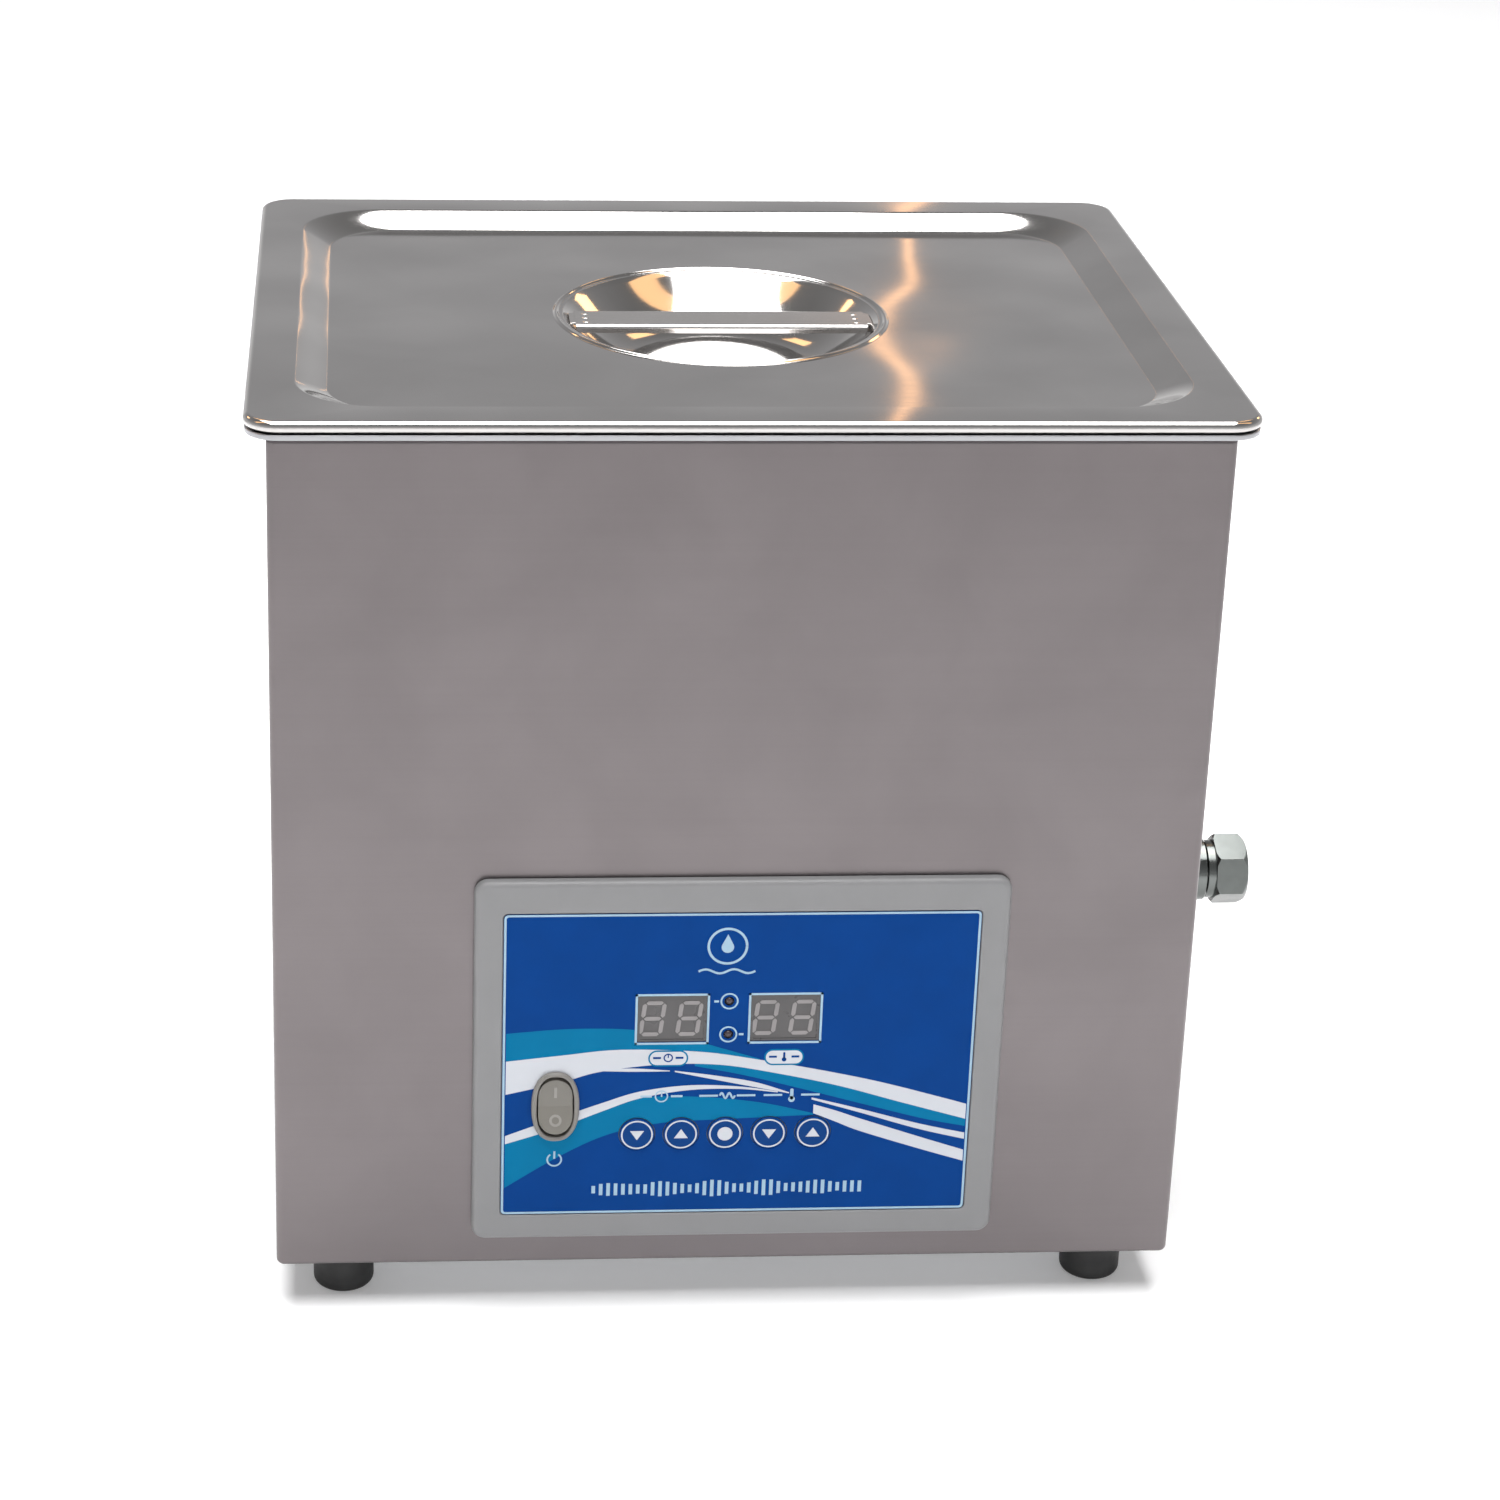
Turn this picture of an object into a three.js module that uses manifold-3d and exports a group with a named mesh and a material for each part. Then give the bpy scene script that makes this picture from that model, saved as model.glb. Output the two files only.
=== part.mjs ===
// A ten-litre bench ultrasonic cleaner, in millimetres, +Z up, front towards -Y.
// The case is centred on x = 0, y = 0 while it is built, and stands on z = 0.
// The whole group is then moved so that its origin is the centre of its footprint.

import * as THREE from "three";
import { mergeVertices } from "three/addons/utils/BufferGeometryUtils.js";
import Module from "manifold-3d";

const wasm = await Module();
wasm.setup();

// ---------- driving dimensions ----------

const GAP = 0.3; // clearance between pieces that rest on each other
const SHEET = 1.2; // stainless sheet

const CASE = { width: 325, depth: 265, bottom: 18, top: 332.5, corner: 3, topReturn: 10, bottomReturn: 8 };
const TANK = { width: 300, depth: 240, inside: 150, corner: 25, floorRadius: 15 };
const FLANGE = { width: 339, depth: 282, corner: 11.5, bottom: 334.5, top: 336.4 };
const LID = { width: 340, depth: 283, corner: 12, top: 341, sheet: 1, step: 5.5 };
const RECESS = { rimX: 16, rimY: 17, slope: 12, cornerTop: 30, cornerBottom: 24 };
const DISH = { radius: 57.5, flat: 29, depth: 18, bead: 4, beadHeight: 0.8 };
const BAR = { length: 108.4, width: 19, drop: 1.2, thickness: 1.2, lip: 3 };

const PANEL = { x: 1.5, z: 101, width: 188, height: 142, proud: 4, corner: 4, pocket: 1 };
const FRAME = { side: 10, top: 12 };
const BUTTON = { radius: 6.3, plunger: 2.5, z: 72.5, pitch: 15.75, firstX: -33.9, proud: 0.7 };
const DISPLAY = { width: 26.2, height: 20, z: 118.3, timerX: -22.5, heatX: 17.5 };
const LED = { radius: 1.5, x: -2.5, timerZ: 125.2, heatZ: 112.1 };
const SWITCH = { x: -63.2, z: 84.3, width: 17.1, height: 27.5, tilt: 9 };
const BOARD = { x0: -48, x1: 84, z0: 52, z1: 150, depth: 10.3, thickness: 1.6 };

const TRANSDUCER = { x: 70, y: 62, topRadius: 29.5, waist: 20, frontLength: 28, stack: 12, back: 20 };
const FAN = { x: -70, z: 100, size: 80, depth: 25, duct: 38 };
const INLET = { x: 95, z: 70, width: 30, height: 38, depth: 24 };
const VALVE = {
  y: -20, z: 119.6, proud: 44.8, hexAcross: 24, hexLength: 12, neck: 16,
  bore: 5.2, mouth: 9, ballX: 18, ball: 7.6,
};
const LEVER = { rise: 7, reach: 52, width: 10, thickness: 1.8 };
const DRAIN = { x: 112, stub: 9.5, hole: 7, stubEnd: 169 };
const HOSE = { drop: 33, bend: 30, run: 11, bore: 10, radius: 12.5 };
const FOOT = { x: 138.5, y: 112, radius: 11, screwHole: 2.2 };

// ---------- worked out from them ----------

const halfW = CASE.width / 2;
const halfD = CASE.depth / 2;
const front = -halfD;
const tankFloor = FLANGE.top - TANK.inside;
const tankUnder = tankFloor - SHEET;
const lidPanel = LID.top - LID.step;
const valveEnd = halfW + VALVE.proud;
const originX = (valveEnd - LID.width / 2) / 2;
const basePlateBottom = CASE.bottom + SHEET + GAP;
const basePlateTop = basePlateBottom + SHEET;
const overlayBack = front - PANEL.proud + PANEL.pocket - GAP;
const overlayFront = overlayBack - 0.4;
const boardFront = front + BOARD.depth;

// ---------- making solids ----------

function signedVolume(geometry) {
  const p = geometry.getAttribute("position");
  const index = geometry.index;
  const [a, b, c] = [new THREE.Vector3(), new THREE.Vector3(), new THREE.Vector3()];
  let sum = 0;
  for (let i = 0; i < index.count; i += 3) {
    a.fromBufferAttribute(p, index.getX(i));
    b.fromBufferAttribute(p, index.getX(i + 1));
    c.fromBufferAttribute(p, index.getX(i + 2));
    sum += a.dot(b.cross(c)) / 6;
  }
  return sum;
}

// a closed three.js geometry as a solid that can be joined and cut
function solid(geometry) {
  geometry.deleteAttribute("normal");
  geometry.deleteAttribute("uv");
  const merged = mergeVertices(geometry, 1e-4);
  const triVerts = Uint32Array.from(merged.index.array);
  if (signedVolume(merged) < 0) triVerts.reverse();
  const vertProperties = Float32Array.from(merged.getAttribute("position").array);
  return new wasm.Manifold(new wasm.Mesh({ numProp: 3, vertProperties, triVerts }));
}

function meshOf(body, name, material) {
  const { numProp, vertProperties, triVerts } = body.getMesh();
  const positions = new Float32Array((vertProperties.length / numProp) * 3);
  for (let i = 0; i < positions.length / 3; i++) {
    for (let k = 0; k < 3; k++) positions[3 * i + k] = vertProperties[numProp * i + k];
  }
  const geometry = new THREE.BufferGeometry();
  geometry.setAttribute("position", new THREE.BufferAttribute(positions, 3));
  geometry.setIndex(new THREE.BufferAttribute(Uint32Array.from(triVerts), 1));
  geometry.computeVertexNormals();
  const mesh = new THREE.Mesh(geometry, material);
  mesh.name = name;
  return mesh;
}

function box(x0, x1, y0, y1, z0, z1) {
  const geometry = new THREE.BoxGeometry(x1 - x0, y1 - y0, z1 - z0);
  return solid(geometry.translate((x0 + x1) / 2, (y0 + y1) / 2, (z0 + z1) / 2));
}

// turns a geometry made along +Z so that it lies along another axis
function along(axis, geometry) {
  if (axis === "x") return geometry.rotateY(Math.PI / 2);
  if (axis === "y") return geometry.rotateX(-Math.PI / 2);
  return geometry;
}

// a cylinder or prism from one end to the other along x, y or z
function rod(axis, radius, from, to, centre, sides = 24, turn = 0) {
  const geometry = new THREE.CylinderGeometry(radius, radius, to - from, sides);
  geometry.rotateX(Math.PI / 2).rotateZ(turn).translate(0, 0, (from + to) / 2);
  along(axis, geometry);
  const [u, v] = centre;
  if (axis === "x") geometry.translate(0, u, v);
  if (axis === "y") geometry.translate(u, 0, v);
  if (axis === "z") geometry.translate(u, v, 0);
  return solid(geometry);
}

// a turned piece: profile points are [radius, height] from axis to axis
function turned(profile, sides = 24) {
  const points = profile.map(([r, h]) => new THREE.Vector2(r, h));
  return solid(new THREE.LatheGeometry(points, sides).rotateX(Math.PI / 2));
}

function roundedRect(width, height, radius, path = new THREE.Shape()) {
  const [x, y] = [width / 2 - radius, height / 2 - radius];
  path.absarc(x, y, radius, 0, Math.PI / 2);
  path.absarc(-x, y, radius, Math.PI / 2, Math.PI);
  path.absarc(-x, -y, radius, Math.PI, 1.5 * Math.PI);
  path.absarc(x, -y, radius, 1.5 * Math.PI, 2 * Math.PI);
  path.closePath();
  return path;
}

// an oval with straight sides, taller than it is wide
function obround(width, height) {
  return roundedRect(width, height, width / 2 - 0.01);
}

function extruded(shape, depth, curveSegments = 4) {
  return new THREE.ExtrudeGeometry(shape, { depth, curveSegments, bevelEnabled: false });
}

// a flat plate lying in x and y
function flatPlate(shape, z0, z1, curveSegments) {
  return solid(extruded(shape, z1 - z0, curveSegments).translate(0, 0, z0));
}

// an upright plate facing the front, with the shape's y as height
function frontPlate(shape, y0, y1, x, z, curveSegments) {
  const geometry = extruded(shape, y1 - y0, curveSegments);
  return solid(geometry.rotateX(Math.PI / 2).translate(x, y1, z));
}

// points of a rounded rectangle, seen from above, counter-clockwise
function ringPoints({ x, y, r, z }, steps) {
  const points = [];
  for (let corner = 0; corner < 4; corner++) {
    const sx = corner === 0 || corner === 3 ? 1 : -1;
    const sy = corner < 2 ? 1 : -1;
    for (let i = 0; i <= steps; i++) {
      const angle = ((corner + i / steps) * Math.PI) / 2;
      points.push([sx * (x - r) + r * Math.cos(angle), sy * (y - r) + r * Math.sin(angle), z]);
    }
  }
  return points;
}

// a solid skinned over rings, closed at both ends by a flat fan
function skinned(rings) {
  const count = rings[0].length;
  const vertices = rings.flat(2);
  const index = [];
  for (let k = 0; k + 1 < rings.length; k++) {
    for (let i = 0; i < count; i++) {
      const [a, b] = [k * count + i, k * count + ((i + 1) % count)];
      index.push(a, b, b + count, a, b + count, a + count);
    }
  }
  const last = (rings.length - 1) * count;
  const low = rings.length * count;
  vertices.push(0, 0, rings[0][0][2], 0, 0, rings.at(-1)[0][2]);
  for (let i = 0; i < count; i++) {
    const next = (i + 1) % count;
    index.push(low, next, i, low + 1, last + i, last + next);
  }
  const geometry = new THREE.BufferGeometry();
  geometry.setAttribute("position", new THREE.Float32BufferAttribute(vertices, 3));
  geometry.setIndex(index);
  return solid(geometry);
}

function union(...bodies) {
  return bodies.reduce((whole, body) => whole.add(body));
}

function cut(body, ...tools) {
  return tools.reduce((whole, tool) => whole.subtract(tool), body);
}

// ---------- materials ----------

function material(color, roughness, metalness) {
  return new THREE.MeshStandardMaterial({ color, roughness, metalness });
}

const brushedSteel = material(0x8f8987, 0.35, 1);
const polishedSteel = material(0x9c9796, 0.15, 1);
const nickel = material(0xa8aaa8, 0.15, 1);
const aluminium = material(0xb4b6b8, 0.4, 1);
const zincSteel = material(0x9a9ca0, 0.4, 1);
const greyPlastic = material(0x8b8a88, 0.5, 0);
const switchPlastic = material(0x8f8a80, 0.5, 0);
const blackPlastic = material(0x17181a, 0.45, 0);
const blackRubber = material(0x141414, 0.8, 0);
const siliconeRubber = material(0x3a3a3c, 0.7, 0);
const overlayFilm = material(0x00448e, 0.35, 0);
const buttonFilm = material(0x0a4f98, 0.35, 0);
const displayBlack = material(0x3b3c40, 0.3, 0);
const ledRed = material(0x7a1f1c, 0.3, 0);
const boardGreen = material(0x1c5a34, 0.5, 0);
const ceramic = material(0xcfc6ae, 0.6, 0);
const heaterFoil = material(0xb06a2c, 0.6, 0);
const copperWinding = material(0xa4582a, 0.4, 0.8);
const leverVinyl = material(0x8c1c1c, 0.5, 0);
const fuseGlass = material(0xd8dcdc, 0.1, 0);

// ---------- case and base ----------

function outerCase() {
  const { bottom, top, corner, topReturn, bottomReturn } = CASE;
  const inner = corner - SHEET;
  const walls = roundedRect(CASE.width, CASE.depth, corner);
  walls.holes.push(roundedRect(CASE.width - 2 * SHEET, CASE.depth - 2 * SHEET, inner, new THREE.Path()));
  const topRing = roundedRect(CASE.width, CASE.depth, corner);
  const topHole = [CASE.width - 2 * topReturn, CASE.depth - 2 * topReturn];
  topRing.holes.push(roundedRect(...topHole, TANK.corner + 1, new THREE.Path()));
  const bottomRing = roundedRect(CASE.width, CASE.depth, corner);
  const bottomHole = [CASE.width - 2 * bottomReturn, CASE.depth - 2 * bottomReturn];
  bottomRing.holes.push(roundedRect(...bottomHole, inner, new THREE.Path()));
  const shell = union(
    flatPlate(walls, bottom, top, 2),
    flatPlate(topRing, top - SHEET, top, 2),
    flatPlate(bottomRing, bottom, bottom + SHEET, 2),
  );
  const panelHole = box(PANEL.x - 86, PANEL.x + 86, front - 5, front + 5, PANEL.z - 63, PANEL.z + 63);
  const fanHole = rod("y", FAN.duct, halfD - 5, halfD + 5, [FAN.x, FAN.z], 28);
  const inletHalf = [INLET.width / 2 - 2 + GAP, INLET.height / 2 - 2 + GAP];
  const inletHole = box(
    INLET.x - inletHalf[0], INLET.x + inletHalf[0], halfD - 5, halfD + 5,
    INLET.z - inletHalf[1], INLET.z + inletHalf[1],
  );
  const drainHole = rod("x", VALVE.bore * 2 + GAP, halfW - 5, halfW + 5, [VALVE.y, VALVE.z], 24);
  return cut(shell, panelHole, fanHole, inletHole, drainHole);
}

function basePlate() {
  const clearance = 2 * (SHEET + GAP);
  const outline = roundedRect(CASE.width - clearance, CASE.depth - clearance, CASE.corner - SHEET);
  let plate = flatPlate(outline, basePlateBottom, basePlateTop, 1);
  for (const x of [30, 66, 102]) {
    for (const y of [-60, -30, 0]) {
      const slot = roundedRect(30, 4, 1.9);
      const tool = flatPlate(slot, basePlateBottom - 1, basePlateTop + 1, 1).translate([x, y, 0]);
      plate = plate.subtract(tool);
    }
  }
  for (const [x, y] of footPlaces()) {
    plate = plate.subtract(rod("z", FOOT.screwHole, basePlateBottom - 1, basePlateTop + 1, [x, y], 8));
  }
  for (const [x, y] of boardStuds()) {
    plate = plate.add(rod("z", 2.5, basePlateTop - 0.2, GENERATOR.z - GAP, [x, y], 8));
  }
  return plate;
}

function footPlaces() {
  return [[-1, -1], [1, -1], [-1, 1], [1, 1]].map(([sx, sy]) => [sx * FOOT.x, sy * FOOT.y]);
}

function foot(x, y) {
  const { radius } = FOOT;
  const top = basePlateBottom - GAP;
  const profile = [
    [FOOT.screwHole, 9], [5.5, 9], [5.5, 0], [radius - 2.4, 0],
    [radius, 2.6], [radius, top], [FOOT.screwHole, top], [FOOT.screwHole, 9],
  ];
  return turned(profile, 16).translate([x, y, 0]);
}

function footScrew(x, y) {
  const shank = FOOT.screwHole - GAP;
  const profile = [
    [0, 4.4], [2.6, 4.7], [4, 6], [4.3, 8.7], [shank, 8.7], [shank, basePlateTop + 5], [0, basePlateTop + 5],
  ];
  return turned(profile, 12).translate([x, y, 0]);
}

// ---------- tank ----------

const TANK_STEPS = 4;

function tankRing(grow, z, inset = 0) {
  const r = Math.max(TANK.corner + grow - inset * 0.5, 4);
  return ringPoints({ x: TANK.width / 2 + grow - inset, y: TANK.depth / 2 + grow - inset, r, z }, TANK_STEPS);
}

function tank() {
  const bend = [90, 60, 30, 0].map((degrees) => THREE.MathUtils.degToRad(degrees));
  const flangeRing = (z) =>
    ringPoints({ x: FLANGE.width / 2, y: FLANGE.depth / 2, r: FLANGE.corner, z }, TANK_STEPS);
  const corner = (radius, grow, base) =>
    bend.map((a) => tankRing(grow, base + radius * (1 - Math.sin(a)), radius * (1 - Math.cos(a))));
  const outside = corner(TANK.floorRadius + SHEET, SHEET, tankUnder);
  const inside = corner(TANK.floorRadius, 0, tankFloor).reverse();
  let body = skinned([
    ...outside,
    tankRing(SHEET, FLANGE.bottom),
    flangeRing(FLANGE.bottom),
    flangeRing(FLANGE.top),
    tankRing(1.5, FLANGE.top),
    tankRing(0, FLANGE.top - 1.5),
    ...inside,
  ]);
  const place = [DRAIN.x, VALVE.y];
  body = body.add(rod("z", DRAIN.stub, DRAIN.stubEnd, tankUnder + 0.5, place, 24));
  return body.subtract(rod("z", DRAIN.hole, DRAIN.stubEnd - 1, tankFloor + 1, place, 24));
}

function tankGasket() {
  const ring = roundedRect(CASE.width - 4, CASE.depth - 4, 6);
  const hole = [TANK.width + 2 * SHEET + 2 * GAP, TANK.depth + 2 * SHEET + 2 * GAP];
  ring.holes.push(roundedRect(...hole, TANK.corner + SHEET + GAP, new THREE.Path()));
  return flatPlate(ring, CASE.top + GAP, FLANGE.bottom - GAP, 2);
}

// ---------- lid ----------

const LID_STEPS = 4;
const DISH_SIDES = 30;

// the pan's upper surface from its edge to the flat panel, lowered for the under side
function panSurface(drop) {
  const { width, depth, corner, top } = LID;
  const ring = (x, y, r, z) => ringPoints({ x, y, r, z: z - drop }, LID_STEPS);
  const [edgeX, edgeY] = [width / 2 - drop, depth / 2 - drop];
  const [rimX, rimY] = [width / 2 - RECESS.rimX, depth / 2 - RECESS.rimY];
  return [
    ring(edgeX, edgeY, corner - drop, top - 1.5),
    ring(edgeX - 0.45, edgeY - 0.45, corner - drop - 0.45, top - 0.45),
    ring(edgeX - 1.5, edgeY - 1.5, corner - drop - 1, top),
    ring(rimX, rimY, RECESS.cornerTop, top),
    ring(rimX - RECESS.slope, rimY - RECESS.slope, RECESS.cornerBottom, lidPanel),
  ];
}

// the round finger dish with a raised bead round its rim
function dish() {
  const { radius, flat, depth, bead, beadHeight } = DISH;
  const outer = radius + bead;
  const wall = [1, 0.8, 0.5, 0.2, 0].map((t) => [
    flat + (radius - flat) * t,
    lidPanel - depth * Math.cos((t * Math.PI) / 2),
  ]);
  const upper = [
    [outer, lidPanel],
    [radius + bead / 2, lidPanel + beadHeight],
    ...wall,
    [0, lidPanel - depth],
  ];
  const lower = upper.map(([r, z]) => [r, z - LID.sheet]).reverse();
  return turned([...lower, ...upper], DISH_SIDES);
}

function lid() {
  const upper = panSurface(0);
  const lower = panSurface(LID.sheet).reverse();
  const skirt = FLANGE.top + GAP;
  const edge = (inset) =>
    ringPoints(
      { x: LID.width / 2 - inset, y: LID.depth / 2 - inset, r: LID.corner - inset, z: skirt },
      LID_STEPS,
    );
  const pan = skinned([...lower, edge(LID.sheet), edge(0), ...upper]);
  const hole = rod("z", DISH.radius + DISH.bead - 0.1, lidPanel - 5, lidPanel + 5, [0, 0], DISH_SIDES);
  return pan.subtract(hole).add(dish());
}

function lidHandleBar() {
  const top = lidPanel - BAR.drop;
  const [l, w] = [BAR.length / 2, BAR.width / 2];
  const strip = box(-l, l, -w, w, top - BAR.thickness, top);
  const frontLip = box(-l + 8, l - 8, -w, -w + BAR.thickness, top - BAR.lip, top);
  const rearLip = box(-l + 8, l - 8, w - BAR.thickness, w, top - BAR.lip, top);
  return union(strip, frontLip, rearLip).intersect(rod("z", l, top - 10, top + 1, [0, 0], 30));
}

// ---------- control panel ----------

const buttonXs = [0, 1, 2, 3, 4].map((i) => BUTTON.firstX + i * BUTTON.pitch);

// the area inside the bezel's frame, whose top is the widest side
const pocketWidth = PANEL.width - 2 * FRAME.side;
const pocketHeight = PANEL.height - FRAME.side - FRAME.top;
const pocketZ = PANEL.z - (FRAME.top - FRAME.side) / 2;

// the openings that the bezel and the overlay share, each a little larger by grow
function panelOpenings(grow, buttonRadius) {
  const [y0, y1] = [front - 8, front + 4];
  const displays = [DISPLAY.timerX, DISPLAY.heatX].map((x) => {
    const [w, h] = [DISPLAY.width / 2 + grow, DISPLAY.height / 2 + grow];
    return box(x - w, x + w, y0, y1, DISPLAY.z - h, DISPLAY.z + h);
  });
  const leds = [LED.timerZ, LED.heatZ].map((z) => rod("y", LED.radius + GAP, y0, y1, [LED.x, z], 10));
  const buttons = buttonXs.map((x) => rod("y", buttonRadius, y0, y1, [x, BUTTON.z], 20));
  const body = obround(SWITCH.width - 2.5 + 2 * GAP, SWITCH.height - 2.5 + 2 * GAP);
  return [...displays, ...leds, ...buttons, frontPlate(body, y0, y1, SWITCH.x, SWITCH.z, 3)];
}

function boardBosses() {
  const inset = 5;
  const [x0, x1] = [BOARD.x0 + inset, BOARD.x1 - inset];
  const [z0, z1] = [BOARD.z0 + inset, BOARD.z1 - inset];
  return [[x0, z0], [x1, z0], [x0, z1], [x1, z1]];
}

function panelBezel() {
  const face = front - PANEL.proud;
  const chamfer = 1;
  const outline = roundedRect(PANEL.width, PANEL.height, PANEL.corner);
  const crown = roundedRect(PANEL.width - 2 * chamfer, PANEL.height - 2 * chamfer, PANEL.corner - chamfer);
  const pocket = roundedRect(pocketWidth, pocketHeight, 2);
  let body = union(
    frontPlate(outline, face + chamfer, front - GAP, PANEL.x, PANEL.z, 2),
    frontPlate(crown, face, face + chamfer + 0.01, PANEL.x, PANEL.z, 2),
  );
  body = body.subtract(frontPlate(pocket, face - 1, face + PANEL.pocket, PANEL.x, pocketZ, 1));
  body = cut(body, ...panelOpenings(GAP, BUTTON.plunger + GAP));
  const bosses = boardBosses().map(([x, z]) => rod("y", 3.5, front - 1, boardFront - GAP, [x, z], 8));
  return union(body, ...bosses);
}

function panelOverlay() {
  const outline = roundedRect(pocketWidth - 2 * GAP, pocketHeight - 2 * GAP, 2 - GAP);
  const sheet = frontPlate(outline, overlayFront, overlayBack, PANEL.x, pocketZ, 1);
  return cut(sheet, ...panelOpenings(GAP, BUTTON.radius + GAP));
}

function button(x) {
  const capFront = overlayFront - BUTTON.proud;
  const cap = rod("y", BUTTON.radius, capFront, overlayFront, [x, BUTTON.z], 20);
  return cap.add(rod("y", BUTTON.plunger, overlayFront - 0.1, boardFront - 6, [x, BUTTON.z], 12));
}

function display(x) {
  const [w, h] = [DISPLAY.width / 2, DISPLAY.height / 2];
  return box(x - w, x + w, overlayFront + 0.2, boardFront - GAP, DISPLAY.z - h, DISPLAY.z + h);
}

function led(z) {
  const dome = [[0, 0], [0.8, 0.2], [1.3, 0.7], [LED.radius, 1.5], [LED.radius, 12], [0, 12]];
  const body = turned(dome, 12).rotate([-90, 0, 0]);
  return body.translate([LED.x, overlayFront - 0.4, z]).trimByPlane([0, -1, 0], -(boardFront - GAP));
}

function controlBoard() {
  const { x0, x1, z0, z1, thickness } = BOARD;
  const plate = box(x0, x1, boardFront, boardFront + thickness, z0, z1);
  const tactSwitches = buttonXs.map((x) =>
    box(x - 3, x + 3, boardFront - 5.2, boardFront + 0.1, BUTTON.z - 3, BUTTON.z + 3),
  );
  const back = boardFront + thickness - 0.1;
  const chips = [
    box(-10, 14, back, back + 3.5, 95, 105),
    box(40, 60, back, back + 15, 120, 136),
    box(20, 50, back, back + 8, 56, 62),
  ];
  return union(plate, ...tactSwitches, ...chips);
}

// ---------- mains rocker switch ----------

const rockerPivotY = front - 1.5;
const rockerWidth = 12.2;
const rockerReach = 11.2; // from the pivot to either end

function switchHousing() {
  const flange = obround(SWITCH.width, SWITCH.height);
  const barrel = obround(SWITCH.width - 2.5, SWITCH.height - 2.5);
  const cavity = obround(rockerWidth + 0.8, 2 * rockerReach + 0.8);
  const face = overlayFront - GAP;
  let body = union(
    frontPlate(flange, face - 1.4, face, SWITCH.x, SWITCH.z, 3),
    frontPlate(barrel, face - 0.1, front + 18, SWITCH.x, SWITCH.z, 3),
  );
  body = body.subtract(frontPlate(cavity, face - 3, rockerPivotY + 8, SWITCH.x, SWITCH.z, 3));
  for (const dz of [-7, 0, 7]) {
    const [x, z] = [SWITCH.x, SWITCH.z + dz];
    body = body.add(box(x - 2.4, x + 2.4, front + 17.5, front + 26, z - 0.4, z + 0.4));
  }
  return body;
}

// a barrel turned about the pivot axis, with two faces that meet in a shallow valley
function switchRocker() {
  const half = rockerWidth / 2;
  const straight = rockerReach - half;
  const profile = [[0, -half]];
  for (let i = 0; i <= 6; i++) {
    const angle = -Math.PI / 2 + (i * Math.PI) / 6;
    profile.push([straight + half * Math.cos(angle), half * Math.sin(angle)]);
  }
  profile.push([0, half]);
  const barrel = turned(profile, 28).rotate([0, 90, 0]);
  const valley = 3.2;
  const slope = Math.tan(THREE.MathUtils.degToRad(SWITCH.tilt));
  const section = new THREE.Shape();
  section.moveTo(5, -20);
  section.lineTo(5, 20);
  section.lineTo(-valley - 20 * slope, 20);
  section.lineTo(-valley, 0);
  section.lineTo(-valley - 20 * slope, -20);
  section.closePath();
  const wedge = solid(extruded(section, 2 * half + 2).translate(0, 0, -half - 1));
  const block = wedge.rotate([90, 0, 90]);
  const rocker = barrel.intersect(block).rotate([-SWITCH.tilt, 0, 0]);
  return rocker.translate([SWITCH.x, rockerPivotY, SWITCH.z]);
}

// ---------- ultrasonic generator ----------

const GENERATOR = { x0: -140, x1: 10, y0: -20, y1: 90, z: basePlateTop + 9, thickness: 1.6 };
const generatorTop = GENERATOR.z + GENERATOR.thickness;

function boardStuds() {
  const inset = 6;
  const xs = [GENERATOR.x0 + inset, GENERATOR.x1 - inset];
  const ys = [GENERATOR.y0 + inset, GENERATOR.y1 - inset];
  return xs.flatMap((x) => ys.map((y) => [x, y]));
}

function generatorBoard() {
  const { x0, x1, y0, y1, z } = GENERATOR;
  const low = generatorTop - 0.1;
  return union(
    box(x0, x1, y0, y1, z, generatorTop),
    rod("z", 11, low, low + 32, [-20, 5], 20),
    rod("z", 11, low, low + 32, [-20, 32], 20),
    box(-60, -41, -14, 1, low, low + 16),
    box(-66, -42, 10, 16, low, low + 20),
    box(-12, 4, 55, 70, low, low + 12),
  );
}

function outputTransformer() {
  const low = generatorTop + GAP;
  const profile = [[11, 3], [15, 0], [26, 0], [30, 4], [30, 18], [26, 22], [15, 22], [11, 19], [11, 3]];
  return turned(profile, 20).translate([-105, 15, low]);
}

function heatsink() {
  const low = generatorTop + GAP;
  const [x0, x1, y0, y1] = [-132, -38, 52, 84];
  const bodies = [box(x0, x1, y0, y1, low, low + 4)];
  for (let i = 0; i < 12; i++) {
    const x = x0 + (i * (x1 - x0 - 1.6)) / 11;
    bodies.push(box(x, x + 1.6, y0, y1, low + 3.5, low + 30));
  }
  return union(...bodies);
}

// ---------- transducers ----------

const transducerTop = tankUnder - GAP;
const stackTop = transducerTop - TRANSDUCER.frontLength - GAP;
const backTop = stackTop - TRANSDUCER.stack - GAP;

function frontMass() {
  const { topRadius, waist, frontLength } = TRANSDUCER;
  const low = transducerTop - frontLength;
  return turned([
    [0, low], [waist, low], [waist, low + 6], [topRadius, transducerTop - 5],
    [topRadius, transducerTop], [0, transducerTop],
  ], 16);
}

// two piezo rings with their electrode plates, seen as one stack
function piezoStack() {
  const { waist, stack } = TRANSDUCER;
  const low = stackTop - stack;
  const ring = waist - 1;
  return turned([
    [0, low], [ring, low], [ring, low + 5.4], [ring + 2, low + 5.4], [ring + 2, low + 6.2],
    [ring, low + 6.2], [ring, stackTop], [0, stackTop],
  ], 16);
}

function backMass() {
  const { waist, back } = TRANSDUCER;
  const low = backTop - back;
  const profile = [[0, low], [waist - 1, low], [waist, low + 1], [waist, backTop], [0, backTop]];
  const boltHead = rod("z", 7, low - 6, low + 0.5, [0, 0], 6);
  return turned(profile, 16).add(boltHead);
}

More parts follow.
